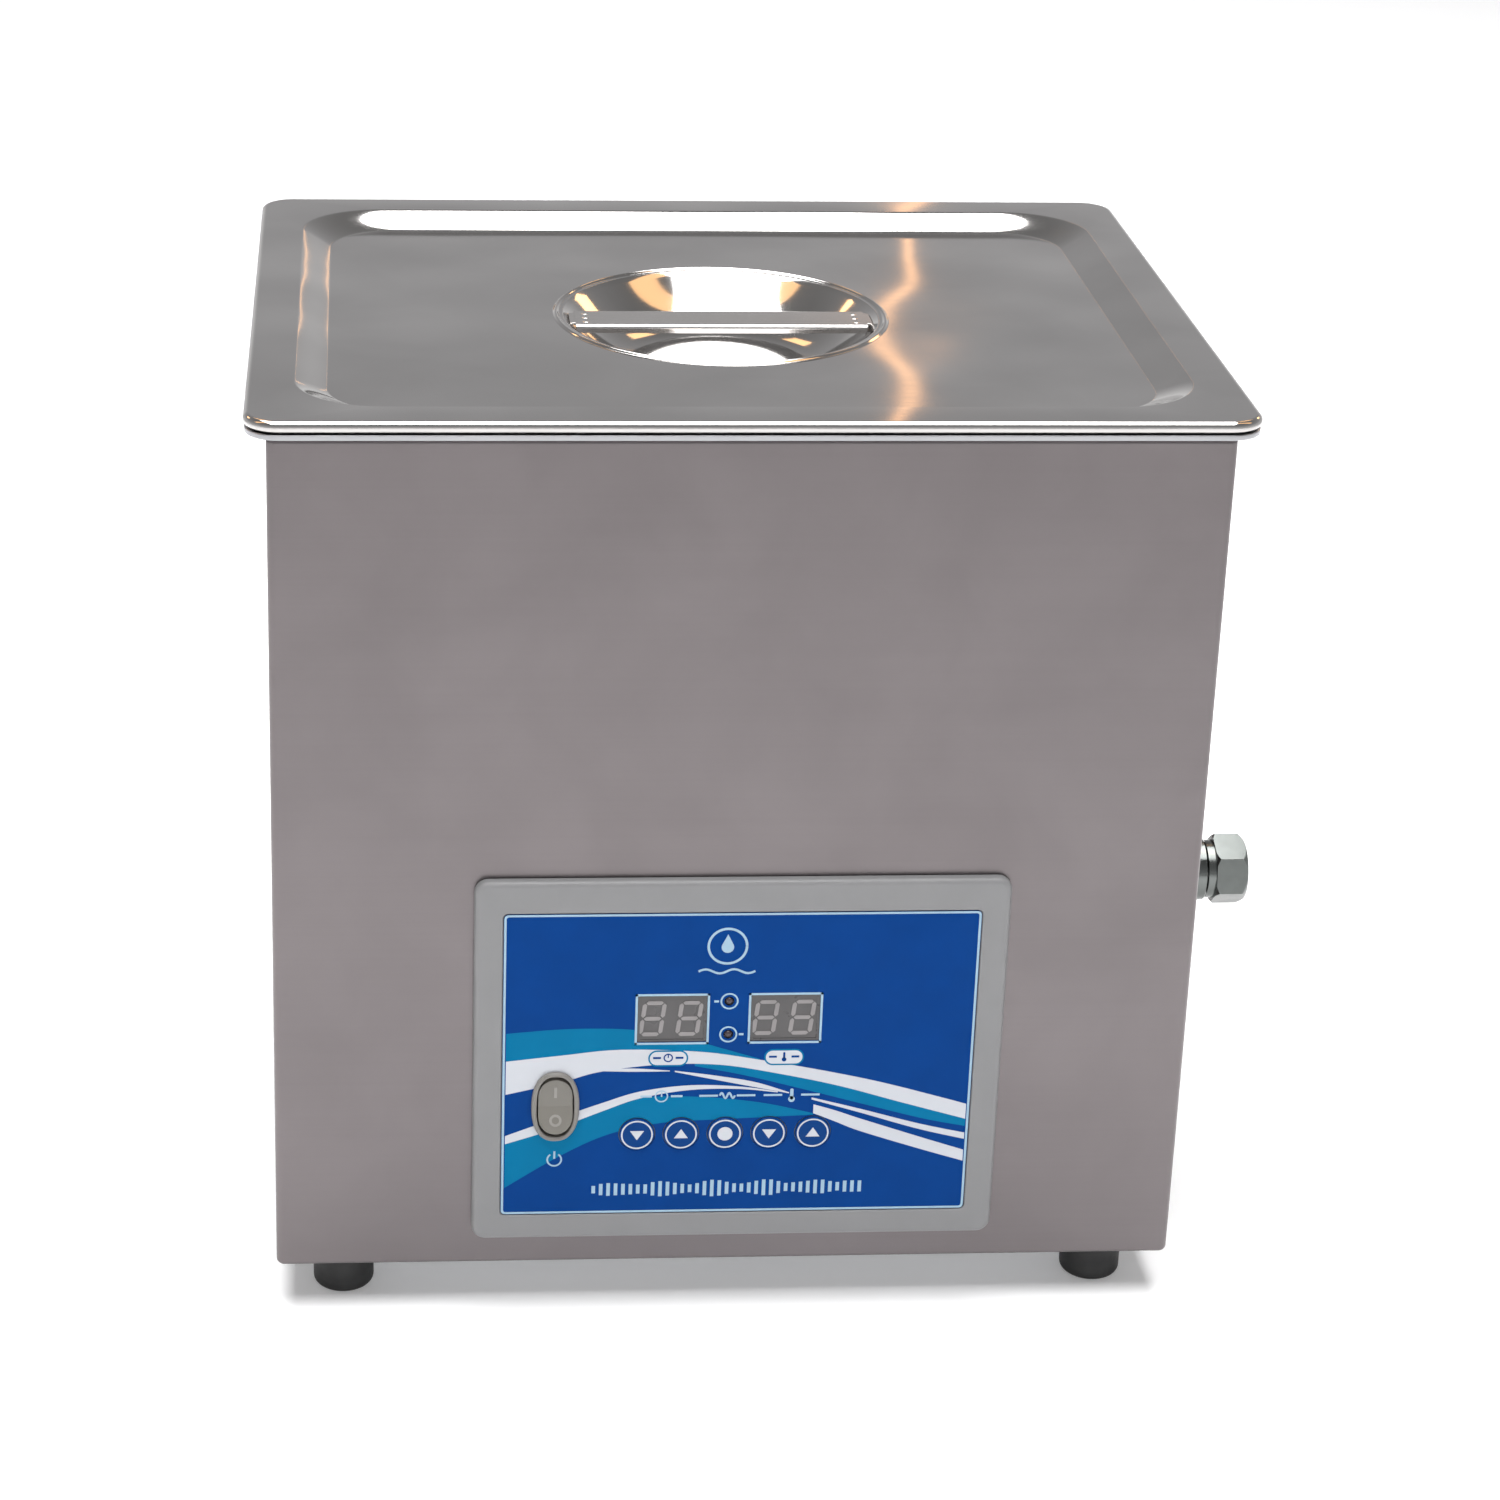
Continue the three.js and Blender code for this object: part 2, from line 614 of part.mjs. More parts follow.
// ---------- heating ----------

function heater(side) {
  const face = TANK.depth / 2 + SHEET + GAP;
  const [near, far] = [face, face + 2.5];
  const pad = box(-100, 100, near, far, 205, 275);
  const terminal = box(80, 92, far - 0.1, far + 2, 208, 216);
  const whole = pad.add(terminal);
  return side < 0 ? whole.mirror([0, 1, 0]) : whole;
}

function temperatureProbe() {
  const face = -TANK.width / 2 - SHEET - GAP;
  const clip = box(face - 1.2, face, -9, 9, 214, 226);
  return clip.add(rod("z", 2.5, 210, 232, [face - 3, 0], 16));
}

// ---------- fan ----------

const fanBack = halfD - SHEET - GAP;
const fanFront = fanBack - FAN.depth;

function fanFrame() {
  const outline = roundedRect(FAN.size, FAN.size, 5);
  let body = frontPlate(outline, fanFront, fanBack, FAN.x, FAN.z, 1);
  body = body.subtract(rod("y", FAN.duct, fanFront + 3, fanBack + 1, [FAN.x, FAN.z], 28));
  const opening = rod("y", FAN.duct, fanFront - 1, fanFront + 4, [FAN.x, FAN.z], 28);
  const hub = rod("y", 19, fanFront - 2, fanFront + 5, [FAN.x, FAN.z], 16);
  const strutY = box(FAN.x - 2, FAN.x + 2, fanFront, fanFront + 3, FAN.z - 42, FAN.z + 42);
  const strutX = box(FAN.x - 42, FAN.x + 42, fanFront, fanFront + 3, FAN.z - 2, FAN.z + 2);
  body = body.subtract(opening.subtract(hub).subtract(strutX).subtract(strutY));
  const [near, far] = [fanFront - 1, fanBack + 1];
  for (const [dx, dz] of [[-36, -36], [36, -36], [-36, 36], [36, 36]]) {
    body = body.subtract(rod("y", 2.2, near, far, [FAN.x + dx, FAN.z + dz], 6));
  }
  return body;
}

function fanRotor() {
  const [near, far] = [fanFront + 4, fanBack - 3];
  let body = rod("y", 18.5, near, far, [0, 0], 20);
  for (let i = 0; i < 7; i++) {
    const blade = box(15, 36.2, -0.8, 0.8, -10.5, 10.5).rotate([32, 0, 0]);
    const spoke = blade.rotate([-90, 0, 0]).translate([0, (near + far) / 2, 0]);
    body = body.add(spoke.rotate([0, (i * 360) / 7, 0]));
  }
  const envelope = rod("y", 36.8, near, far, [0, 0], 28);
  return body.intersect(envelope).translate([FAN.x, 0, FAN.z]);
}

function fanGuard() {
  const y = halfD + GAP + 0.8;
  const wire = 0.8;
  let body = rod("y", 4, y - 0.8, y + 1.6, [0, 0], 10);
  for (const radius of [13, 25, 37]) {
    const ring = new THREE.TorusGeometry(radius, wire, 4, 20).rotateX(Math.PI / 2);
    body = body.add(solid(ring.translate(0, y + 0.4, 0)));
  }
  for (const angle of [45, 135]) {
    body = body.add(box(-50.5, 50.5, y - 0.8, y + 1.1, -1, 1).rotate([0, angle, 0]));
  }
  for (const [dx, dz] of [[-36, -36], [36, -36], [-36, 36], [36, 36]]) {
    body = body.add(rod("y", 4.2, y - 0.8, y + 1.2, [dx, dz], 8));
  }
  return body.translate([FAN.x, 0, FAN.z]);
}

// ---------- drain ----------

const axisAt = [VALVE.y, VALVE.z];
const ballX = halfW + VALVE.ballX;

// straight down, round a quarter bend and level towards the wall, measured along its length
class ElbowCurve extends THREE.Curve {
  getPoint(t, target = new THREE.Vector3()) {
    const { drop, bend, run } = HOSE;
    const arc = (bend * Math.PI) / 2;
    const s = t * (drop + arc + run);
    const [x, y, z] = [DRAIN.x, VALVE.y, VALVE.z];
    if (s < drop) return target.set(x, y, z + bend + drop - s);
    if (s > drop + arc) return target.set(x + bend + (s - drop - arc), y, z);
    const angle = (s - drop) / bend;
    return target.set(x + bend * (1 - Math.cos(angle)), y, z + bend * (1 - Math.sin(angle)));
  }
}

function drainHose() {
  const section = new THREE.Shape().absarc(0, 0, HOSE.radius, 0, 2 * Math.PI);
  section.holes.push(new THREE.Path().absarc(0, 0, HOSE.bore, 0, 2 * Math.PI, true));
  const options = { steps: 9, curveSegments: 7, extrudePath: new ElbowCurve() };
  return solid(new THREE.ExtrudeGeometry(section, options));
}

function drainFitting() {
  const wall = halfW;
  const body = union(
    rod("x", DRAIN.stub, wall - 19, wall - 7.9, axisAt, 20),
    rod("x", 2 * VALVE.bore - 0.1, wall - 8, wall + GAP + 0.1, axisAt, 20),
    rod("x", 13, wall + GAP, wall + 3.5, axisAt, 20),
    rod("x", 7.8, wall + 3.4, ballX - 8.2, axisAt, 16),
  );
  return body.subtract(rod("x", VALVE.bore, wall - 20, ballX, axisAt, 16));
}

function drainLocknut() {
  const nut = rod("x", 27 / Math.sqrt(3), halfW - SHEET - GAP - 6, halfW - SHEET - GAP, axisAt, 6);
  return nut.subtract(rod("x", 2 * VALVE.bore + GAP, halfW - 10, halfW, axisAt, 24));
}

function valveBody() {
  const { y, z, neck, bore, mouth, hexAcross, hexLength } = VALVE;
  const start = halfW + 3.5 + GAP;
  const hexStart = valveEnd - hexLength;
  const hexRadius = hexAcross / Math.sqrt(3);
  const turnToView = THREE.MathUtils.degToRad(20);
  let body = union(
    rod("x", 12, start, hexStart + 0.1, axisAt, 20),
    rod("x", hexRadius, hexStart, valveEnd, axisAt, 6, turnToView),
    rod("z", 6.5, z, z + neck, [ballX, y], 20),
  );
  const chamfer = turned([
    [0, start], [hexRadius + 2, start], [hexRadius + 2, valveEnd - 3],
    [hexRadius - 1.6, valveEnd], [0, valveEnd],
  ], 24);
  body = body.intersect(chamfer.rotate([0, 90, 0]).translate([0, y, z]).add(
    rod("z", 6.5, z, z + neck, [ballX, y], 20),
  ));
  const cavity = solid(new THREE.SphereGeometry(8, 14, 8).translate(ballX, y, z));
  return cut(
    body,
    cavity,
    rod("x", 8.1, start - 1, ballX, axisAt, 24),
    rod("x", bore, ballX, valveEnd + 1, axisAt, 20),
    rod("x", mouth, valveEnd - 15, valveEnd + 1, axisAt, 24),
    rod("z", 3.1, z, z + 20, [ballX, y], 16),
  );
}

function valveBall() {
  const ball = solid(new THREE.SphereGeometry(VALVE.ball, 14, 8).translate(ballX, VALVE.y, VALVE.z));
  const bore = rod("y", VALVE.bore - 0.4, VALVE.y - 10, VALVE.y + 10, [ballX, VALVE.z], 16);
  return ball.subtract(bore);
}

function valveStem() {
  const z = VALVE.z;
  const place = [ballX, VALVE.y];
  const shoulder = z + VALVE.neck + 0.6;
  const shaft = rod("z", 2.8, z + VALVE.ball + GAP, shoulder, place, 16);
  return shaft.add(rod("z", 2.2, shoulder - 0.1, z + VALVE.neck + 8, place, 16));
}

function valveLever() {
  const { rise, reach, width, thickness } = LEVER;
  const low = VALVE.z + VALVE.neck + 2 * GAP;
  const [x, y] = [ballX, VALVE.y];
  const hub = rod("z", 7, low, low + thickness, [x, y], 24);
  const side = new THREE.Shape();
  side.moveTo(0, low);
  side.lineTo(14, low);
  side.lineTo(20, low + rise);
  side.lineTo(reach, low + rise);
  side.lineTo(reach, low + rise + thickness + 1.2);
  side.lineTo(22, low + rise + thickness + 1.2);
  side.lineTo(20, low + rise + thickness);
  side.lineTo(13, low + thickness);
  side.lineTo(0, low + thickness);
  side.closePath();
  const blade = solid(extruded(side, width).translate(0, 0, -width / 2)).rotate([90, 0, 90]);
  const hole = rod("z", 2.8, low - 1, low + 3, [x, y], 16);
  return cut(union(hub, blade.translate([x, y, 0])), hole);
}

function valveLeverNut() {
  const low = VALVE.z + VALVE.neck + LEVER.thickness + 3 * GAP;
  const place = [ballX, VALVE.y];
  const acrossFlats = 8;
  const nut = rod("z", acrossFlats / Math.sqrt(3), low, low + 3.6, place, 6);
  return nut.subtract(rod("z", 2.5, low - 1, low + 5, place, 16));
}

// ---------- mains inlet ----------

const inletFace = halfD + GAP + 2.5;
const drawer = { halfWidth: 10, low: -12.6, high: -5.4, depth: 21.5 };

function powerInlet() {
  const { x, z, width, height, depth } = INLET;
  const flange = frontPlate(roundedRect(width + 8, height + 4, 3), halfD + GAP, inletFace, x, z, 3);
  const barrel = box(
    x - width / 2 + 2, x + width / 2 - 2, halfD - depth, halfD + GAP + 0.1,
    z - height / 2 + 2, z + height / 2 - 2,
  );
  const socket = box(x - 12.2, x + 12.2, inletFace - 17, inletFace + 1, z - 0.75, z + 15.75);
  const slot = box(
    x - drawer.halfWidth - GAP, x + drawer.halfWidth + GAP, inletFace - drawer.depth - GAP, inletFace + 1,
    z + drawer.low - GAP, z + drawer.high + GAP,
  );
  const [pinBack, pinFront] = [inletFace - 17.5, inletFace - 3];
  const pin = (px, pz) => box(x + px - 1, x + px + 1, pinBack, pinFront, z + pz - 2, z + pz + 2);
  const back = halfD - depth;
  const tab = (tx) => box(x + tx - 2.4, x + tx + 2.4, back - 8, back + 0.5, z + 5.6, z + 6.4);
  const tabs = [-8, 0, 8].map(tab);
  return union(cut(flange.add(barrel), socket, slot), pin(-7, 4.5), pin(7, 4.5), pin(0, 8.5), ...tabs);
}

function fuseDrawer() {
  const { x, z } = INLET;
  const { halfWidth, low, high, depth } = drawer;
  const body = box(x - halfWidth, x + halfWidth, inletFace - depth, inletFace + 0.4, z + low, z + high);
  const pocket = box(x - 3.2, x + 3.2, inletFace - depth + 0.8, inletFace - 1, z + high - 6.2, z + high + 1);
  return body.subtract(pocket);
}

function fuse() {
  const { x, z } = INLET;
  const centre = [x, z + drawer.high - 3.3];
  const end = inletFace - drawer.depth + 0.4;
  const glass = rod("y", 2.3, end + 0.8, end + 20, centre, 16);
  const frontCap = rod("y", 2.6, end + 14.8, end + 20, centre, 16);
  const backCap = rod("y", 2.6, end + 0.8, end + 6, centre, 16);
  return union(glass, frontCap, backCap);
}

// ---------- assembly ----------

const cleaner = new THREE.Group();
const assembly = new THREE.Group();
assembly.position.x = -originX;
cleaner.add(assembly);

function place(name, body, look, parent = assembly) {
  parent.add(meshOf(body, name, look));
}

place("outer_case", outerCase(), brushedSteel);
place("base_plate", basePlate(), zincSteel);
place("tank", tank(), polishedSteel);
place("tank_gasket", tankGasket(), siliconeRubber);
place("lid", lid(), polishedSteel);
place("lid_handle_bar", lidHandleBar(), polishedSteel);

footPlaces().forEach(([x, y], i) => {
  place(`foot_${i + 1}`, foot(x, y), blackRubber);
  place(`foot_screw_${i + 1}`, footScrew(x, y), zincSteel);
});

place("panel_bezel", panelBezel(), greyPlastic);
place("panel_overlay", panelOverlay(), overlayFilm);
const buttonNames = ["time_down", "time_up", "start", "heat_down", "heat_up"];
buttonNames.forEach((name, i) => place(`button_${name}`, button(buttonXs[i]), buttonFilm));
place("timer_display", display(DISPLAY.timerX), displayBlack);
place("temperature_display", display(DISPLAY.heatX), displayBlack);
place("timer_led", led(LED.timerZ), ledRed);
place("heater_led", led(LED.heatZ), ledRed);
place("switch_housing", switchHousing(), switchPlastic);
place("switch_rocker", switchRocker(), switchPlastic);
place("control_board", controlBoard(), boardGreen);

place("generator_board", generatorBoard(), boardGreen);
place("output_transformer", outputTransformer(), copperWinding);
place("heatsink", heatsink(), aluminium);
place("heater_front", heater(-1), heaterFoil);
place("heater_rear", heater(1), heaterFoil);
place("temperature_probe", temperatureProbe(), copperWinding);

[[-1, -1], [1, -1], [-1, 1], [1, 1]].forEach(([sx, sy], i) => {
  const transducer = new THREE.Group();
  transducer.position.set(sx * TRANSDUCER.x, sy * TRANSDUCER.y, 0);
  assembly.add(transducer);
  place(`transducer_front_mass_${i + 1}`, frontMass(), aluminium, transducer);
  place(`transducer_piezo_stack_${i + 1}`, piezoStack(), ceramic, transducer);
  place(`transducer_back_mass_${i + 1}`, backMass(), zincSteel, transducer);
});

place("fan_frame", fanFrame(), blackPlastic);
place("fan_rotor", fanRotor(), blackPlastic);
place("fan_guard", fanGuard(), nickel);

place("drain_hose", drainHose(), siliconeRubber);
place("drain_fitting", drainFitting(), nickel);
place("drain_locknut", drainLocknut(), nickel);
place("valve_body", valveBody(), nickel);
place("valve_ball", valveBall(), nickel);
place("valve_stem", valveStem(), nickel);
place("valve_lever", valveLever(), leverVinyl);
place("valve_lever_nut", valveLeverNut(), zincSteel);

place("power_inlet", powerInlet(), blackPlastic);
place("fuse_drawer", fuseDrawer(), blackPlastic);
place("fuse", fuse(), fuseGlass);

export default cleaner;
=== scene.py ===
import math

import bmesh
import bpy
from mathutils import Matrix, Vector


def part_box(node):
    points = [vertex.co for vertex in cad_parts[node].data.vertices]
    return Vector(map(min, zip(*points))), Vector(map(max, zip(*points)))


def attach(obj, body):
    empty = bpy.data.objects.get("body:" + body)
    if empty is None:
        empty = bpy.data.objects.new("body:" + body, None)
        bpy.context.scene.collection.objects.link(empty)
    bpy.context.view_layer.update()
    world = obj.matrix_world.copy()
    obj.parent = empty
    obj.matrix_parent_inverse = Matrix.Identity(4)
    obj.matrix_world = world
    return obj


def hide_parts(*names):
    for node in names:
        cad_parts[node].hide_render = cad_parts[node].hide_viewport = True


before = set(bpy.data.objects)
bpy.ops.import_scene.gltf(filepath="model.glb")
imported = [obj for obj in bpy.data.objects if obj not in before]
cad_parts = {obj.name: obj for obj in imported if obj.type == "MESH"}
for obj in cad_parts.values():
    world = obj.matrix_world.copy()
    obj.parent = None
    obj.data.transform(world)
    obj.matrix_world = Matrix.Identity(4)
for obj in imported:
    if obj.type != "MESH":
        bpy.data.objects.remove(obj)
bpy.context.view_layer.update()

# ---------- units and places ----------
# Shapes are worked out in millimetres, with x and y measured from the middle of the case.

MM = 0.001
case_low, case_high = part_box("outer_case")
MIDDLE = (case_low.x + case_high.x) / 2


class Extent:
    """A CAD node's box in millimetres, measured from the middle of the case."""

    def __init__(self, node):
        low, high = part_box(node)
        self.x0, self.x1 = (low.x - MIDDLE) / MM, (high.x - MIDDLE) / MM
        self.y0, self.y1 = low.y / MM, high.y / MM
        self.z0, self.z1 = low.z / MM, high.z / MM
        self.cx, self.cy, self.cz = (self.x0 + self.x1) / 2, (self.y0 + self.y1) / 2, (self.z0 + self.z1) / 2
        self.w, self.d, self.h = self.x1 - self.x0, self.y1 - self.y0, self.z1 - self.z0


CASE = Extent("outer_case")
LID = Extent("lid")
TANK = Extent("tank")
BEZEL = Extent("panel_bezel")
OVERLAY = Extent("panel_overlay")
SWITCH = Extent("switch_housing")
SHEET = 1.2

# ---------- outlines ----------


def arc(cx, cy, radius, start, end, steps):
    """Points on an arc, angles in degrees."""
    angles = [math.radians(start + (end - start) * i / steps) for i in range(steps + 1)]
    return [(cx + radius * math.cos(a), cy + radius * math.sin(a)) for a in angles]


def circle(cx, cy, radius, steps=48):
    return arc(cx, cy, radius, 0, 360, steps)[:-1]


def rounded(cx, cy, width, height, radius, steps=8):
    """A rectangle with round corners, counter-clockwise."""
    x, y = width / 2 - radius, height / 2 - radius
    points = []
    for corner, (sx, sy) in enumerate([(1, 1), (-1, 1), (-1, -1), (1, -1)]):
        points += arc(cx + sx * x, cy + sy * y, radius, 90 * corner, 90 * corner + 90, steps)
    return points


def catmull_rom(p, q, r, s, t):
    squared = 2 * p - 5 * q + 4 * r - s
    cubed = 3 * q - p - 3 * r + s
    return 0.5 * (2 * q + (r - p) * t + squared * t * t + cubed * t ** 3)


def spline(points, steps=7):
    """A smooth line through the points."""
    ends = [points[0], *points, points[-1]]
    line = []
    for a, b, c, d in zip(ends, ends[1:], ends[2:], ends[3:]):
        for i in range(steps):
            line.append(tuple(catmull_rom(*values, i / steps) for values in zip(a, b, c, d)))
    return line + [points[-1]]


def quarter(radius, steps):
    """(inset, drop) pairs round a quarter circle, from a flat side to a flat face."""
    angles = [math.pi / 2 * i / steps for i in range(steps + 1)]
    return [(radius * (1 - math.cos(a)), radius * (1 - math.sin(a))) for a in angles]


def swoosh(top, bottom):
    """The area between two smooth lines, both listed from left to right."""
    return spline(top) + spline(bottom)[::-1]


def stroke(points, width):
    """A line of constant width with square ends."""
    left, right = [], []
    for i, (x, y) in enumerate(points):
        ax, ay = points[max(i - 1, 0)]
        bx, by = points[min(i + 1, len(points) - 1)]
        length = math.hypot(bx - ax, by - ay)
        nx, ny = -(by - ay) / length * width / 2, (bx - ax) / length * width / 2
        left.append((x + nx, y + ny))
        right.append((x - nx, y - ny))
    return left + right[::-1]


# ---------- solids, in millimetres ----------


def solid(verts, faces):
    mesh = bpy.data.meshes.new("solid")
    mesh.from_pydata([tuple(v) for v in verts], [], faces)
    mesh.validate()
    cleaned(mesh)
    return linked(mesh)


def linked(mesh):
    obj = bpy.data.objects.new("solid", mesh)
    bpy.context.scene.collection.objects.link(obj)
    return obj


def cleaned(mesh, distance=1e-4):
    """Merges doubled points and turns every face outward."""
    work = bmesh.new()
    work.from_mesh(mesh)
    bmesh.ops.remove_doubles(work, verts=work.verts, dist=distance)
    bmesh.ops.recalc_face_normals(work, faces=work.faces)
    work.to_mesh(mesh)
    work.free()


def skin(rings, loop=False):
    """A solid skinned over rings of equal count. A loop joins the last ring to the first."""
    count = len(rings[0])
    verts = [point for ring in rings for point in ring]
    faces = []
    for k in range(len(rings) if loop else len(rings) - 1):
        low, high = k * count, ((k + 1) % len(rings)) * count
        for i in range(count):
            j = (i + 1) % count
            faces.append((low + i, low + j, high + j, high + i))
    if not loop:
        faces.append(tuple(reversed(range(count))))
        faces.append(tuple(range(len(verts) - count, len(verts))))
    return solid(verts, faces)


def turned(profile, sides=64, axis="z", at=(0, 0, 0), loop=False):
    """A turned piece. Profile points are (radius, height), from axis to axis, or a closed loop."""
    rings = []
    for r, h in profile:
        angles = [2 * math.pi * i / sides for i in range(sides)]
        rings.append([(max(r, 1e-6) * math.cos(a), max(r, 1e-6) * math.sin(a), h) for a in angles])
    return put(skin(rings, loop), axis, at)


AXIS_TURN = {
    "x": Matrix.Rotation(math.pi / 2, 4, "Y"),
    "y": Matrix.Rotation(-math.pi / 2, 4, "X"),
    "z": Matrix.Identity(4),
}


def put(obj, axis="z", at=(0, 0, 0)):
    """Turns a solid made along +Z to lie along an axis, and moves it."""
    obj.data.transform(Matrix.Translation(at) @ AXIS_TURN[axis])
    return obj


def polyline(curve, points, closed):
    line = curve.splines.new("POLY")
    line.points.add(len(points) - 1)
    for point, place in zip(line.points, points):
        point.co = (*place, 1)
    line.use_cyclic_u = closed


def filled(curve, move=Matrix.Identity(4)):
    """The solid that a curve's bevel and extrusion make."""
    holder = bpy.data.objects.new("curve", curve)
    mesh = bpy.data.meshes.new_from_object(holder)
    bpy.data.objects.remove(holder)
    mesh.transform(move)
    cleaned(mesh)
    return linked(mesh)


def plate(outlines, low, high, bevel=0.0, bevel_steps=3):
    """A flat plate in x and y. Outlines inside others are holes."""
    curve = bpy.data.curves.new("plate", "CURVE")
    curve.dimensions = "2D"
    curve.fill_mode = "BOTH"
    curve.extrude = (high - low) / 2 - bevel
    curve.bevel_depth = bevel
    curve.bevel_resolution = bevel_steps
    curve.offset = -bevel
    for outline in outlines:
        polyline(curve, [(x, y, 0) for x, y in outline], True)
    return filled(curve, Matrix.Translation((0, 0, (low + high) / 2)))


def upright(outlines, y0, y1, bevel=0.0, bevel_steps=3):
    """A plate facing the front: outlines are in x and z, and it fills y0 to y1."""
    obj = plate(outlines, -y1, -y0, bevel, bevel_steps)
    obj.data.transform(Matrix.Rotation(math.pi / 2, 4, "X"))
    return obj


def block(x0, x1, y0, y1, z0, z1, bevel=0.0):
    outline = rounded((x0 + x1) / 2, (y0 + y1) / 2, x1 - x0, y1 - y0, max(bevel, 0.05), 3)
    return plate([outline], z0, z1, bevel, 2)


def rod(axis, radius, start, end, at, sides=48):
    u, v = at
    place = {"x": (0, u, v), "y": (u, 0, v), "z": (u, v, 0)}[axis]
    return turned([(0, start), (radius, start), (radius, end), (0, end)], sides, axis, place)


def wire(points, radius, closed=False, sides=4):
    """A round wire through the points."""
    curve = bpy.data.curves.new("wire", "CURVE")
    curve.dimensions = "3D"
    curve.bevel_depth = radius
    curve.bevel_resolution = sides
    curve.use_fill_caps = not closed
    polyline(curve, points, closed)
    return filled(curve)


def gathered(*parts):
    """Several closed solids as one object."""
    work = bmesh.new()
    for part in parts:
        work.from_mesh(part.data)
    mesh = bpy.data.meshes.new("gathered")
    work.to_mesh(mesh)
    work.free()
    for part in parts:
        bpy.data.objects.remove(part)
    return linked(mesh)


def combined(body, operation, *tools):
    for tool in tools:
        modifier = body.modifiers.new("combine", "BOOLEAN")
        modifier.operation = operation
        modifier.solver = "EXACT"
        modifier.object = tool
        bpy.context.view_layer.update()
        evaluated = body.evaluated_get(bpy.context.evaluated_depsgraph_get())
        mesh = bpy.data.meshes.new_from_object(evaluated)
        body.modifiers.clear()
        body.data = mesh
        bpy.data.objects.remove(tool)
    return body


def cut(body, *tools):
    return combined(body, "DIFFERENCE", *tools)


def joined(body, *tools):
    return combined(body, "UNION", *tools)


def kept(body, tool):
    return combined(body, "INTERSECT", tool)


def piece(name, obj, body, slot, material, *nodes, crease=32, bevel=0.0):
    """Names a finished solid, takes it to metres in the row frame, and ties it to its body."""
    obj.name = name
    obj.data.name = name
    obj.data.transform(Matrix.Translation((MIDDLE, 0, 0)) @ Matrix.Scale(MM, 4))
    obj.data.polygons.foreach_set("use_smooth", [True] * len(obj.data.polygons))
    obj.data.set_sharp_from_angle(angle=math.radians(crease))
    obj.data.materials.clear()
    obj.data.materials.append(material)
    if bevel:
        edge = obj.modifiers.new("edge", "BEVEL")
        edge.width = bevel * MM
        edge.segments = 2
        edge.limit_method = "ANGLE"
        edge.angle_limit = math.radians(crease)
        edge.harden_normals = True
    normals = obj.modifiers.new("normals", "WEIGHTED_NORMAL")
    normals.keep_sharp = True
    normals.weight = 100
    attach(obj, body)
    if nodes:
        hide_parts(*nodes)
    return obj


# ---------- materials ----------


class Finish:
    """One procedural material, built from a Principled shader."""

    def __init__(self, name, colour, roughness, metallic=0.0, **inputs):
        self.material = bpy.data.materials.new(name)
        self.material.use_nodes = True
        self.nodes = self.material.node_tree.nodes
        self.links = self.material.node_tree.links
        self.shader = self.nodes["Principled BSDF"]
        self.shader.inputs["Base Color"].default_value = (*colour, 1)
        self.shader.inputs["Roughness"].default_value = roughness
        self.shader.inputs["Metallic"].default_value = metallic
        for key, value in inputs.items():
            self.shader.inputs[key.replace("_", " ")].default_value = value
        self.colour = colour
        self.roughness = roughness
        self.place = self.nodes.new("ShaderNodeTexCoord").outputs["Object"]
        self.normal = None

    def noise(self, stretch, detail=3.0, distortion=0.0):
        """Noise with so many waves to the metre along each axis."""
        mapping = self.nodes.new("ShaderNodeMapping")
        mapping.inputs["Scale"].default_value = stretch
        self.links.new(self.place, mapping.inputs["Vector"])
        texture = self.nodes.new("ShaderNodeTexNoise")
        texture.inputs["Scale"].default_value = 1.0
        texture.inputs["Detail"].default_value = detail
        texture.inputs["Distortion"].default_value = distortion
        self.links.new(mapping.outputs["Vector"], texture.inputs["Vector"])
        return texture.outputs["Fac"]

    def spread(self, value, low, high, start=0.3, end=0.7):
        node = self.nodes.new("ShaderNodeMapRange")
        node.inputs["From Min"].default_value = start
        node.inputs["From Max"].default_value = end
        node.inputs["To Min"].default_value = low
        node.inputs["To Max"].default_value = high
        self.links.new(value, node.inputs["Value"])
        return node.outputs["Result"]

    def vary_roughness(self, value, amount):
        rough = self.spread(value, self.roughness - amount, self.roughness + amount)
        self.links.new(rough, self.shader.inputs["Roughness"])
        return self

    def vary_colour(self, value, amount):
        node = self.nodes.new("ShaderNodeMix")
        node.data_type = "RGBA"
        colours = [socket for socket in node.inputs if socket.type == "RGBA"]
        for socket, share in zip(colours, (1 - amount, 1 + amount)):
            socket.default_value = (*[min(c * share, 1) for c in self.colour], 1)
        self.links.new(self.spread(value, 0, 1), node.inputs["Factor"])
        result = [socket for socket in node.outputs if socket.type == "RGBA"][0]
        self.links.new(result, self.shader.inputs["Base Color"])
        return self

    def relief(self, value, strength, distance):
        node = self.nodes.new("ShaderNodeBump")
        node.inputs["Strength"].default_value = strength
        node.inputs["Distance"].default_value = distance * MM
        self.links.new(value, node.inputs["Height"])
        if self.normal:
            self.links.new(self.normal, node.inputs["Normal"])
        self.normal = node.outputs["Normal"]
        self.links.new(self.normal, self.shader.inputs["Normal"])
        return self


def sheet_metal(name, colour, roughness, grain, waves, wave_height, mottle=0.05):
    """Cold-rolled sheet: fine grain one way, slow waves, and a faint mottle."""
    finish = Finish(name, colour, roughness, 1.0)
    lines = finish.noise(grain, 2.0)
    finish.vary_roughness(lines, roughness * 0.1)
    finish.vary_colour(finish.noise((23, 23, 23), 5.0, 0.4), mottle)
    finish.relief(lines, 0.05, 0.01)
    finish.relief(finish.noise(waves, 1.0), 1.0, wave_height)
    return finish.material


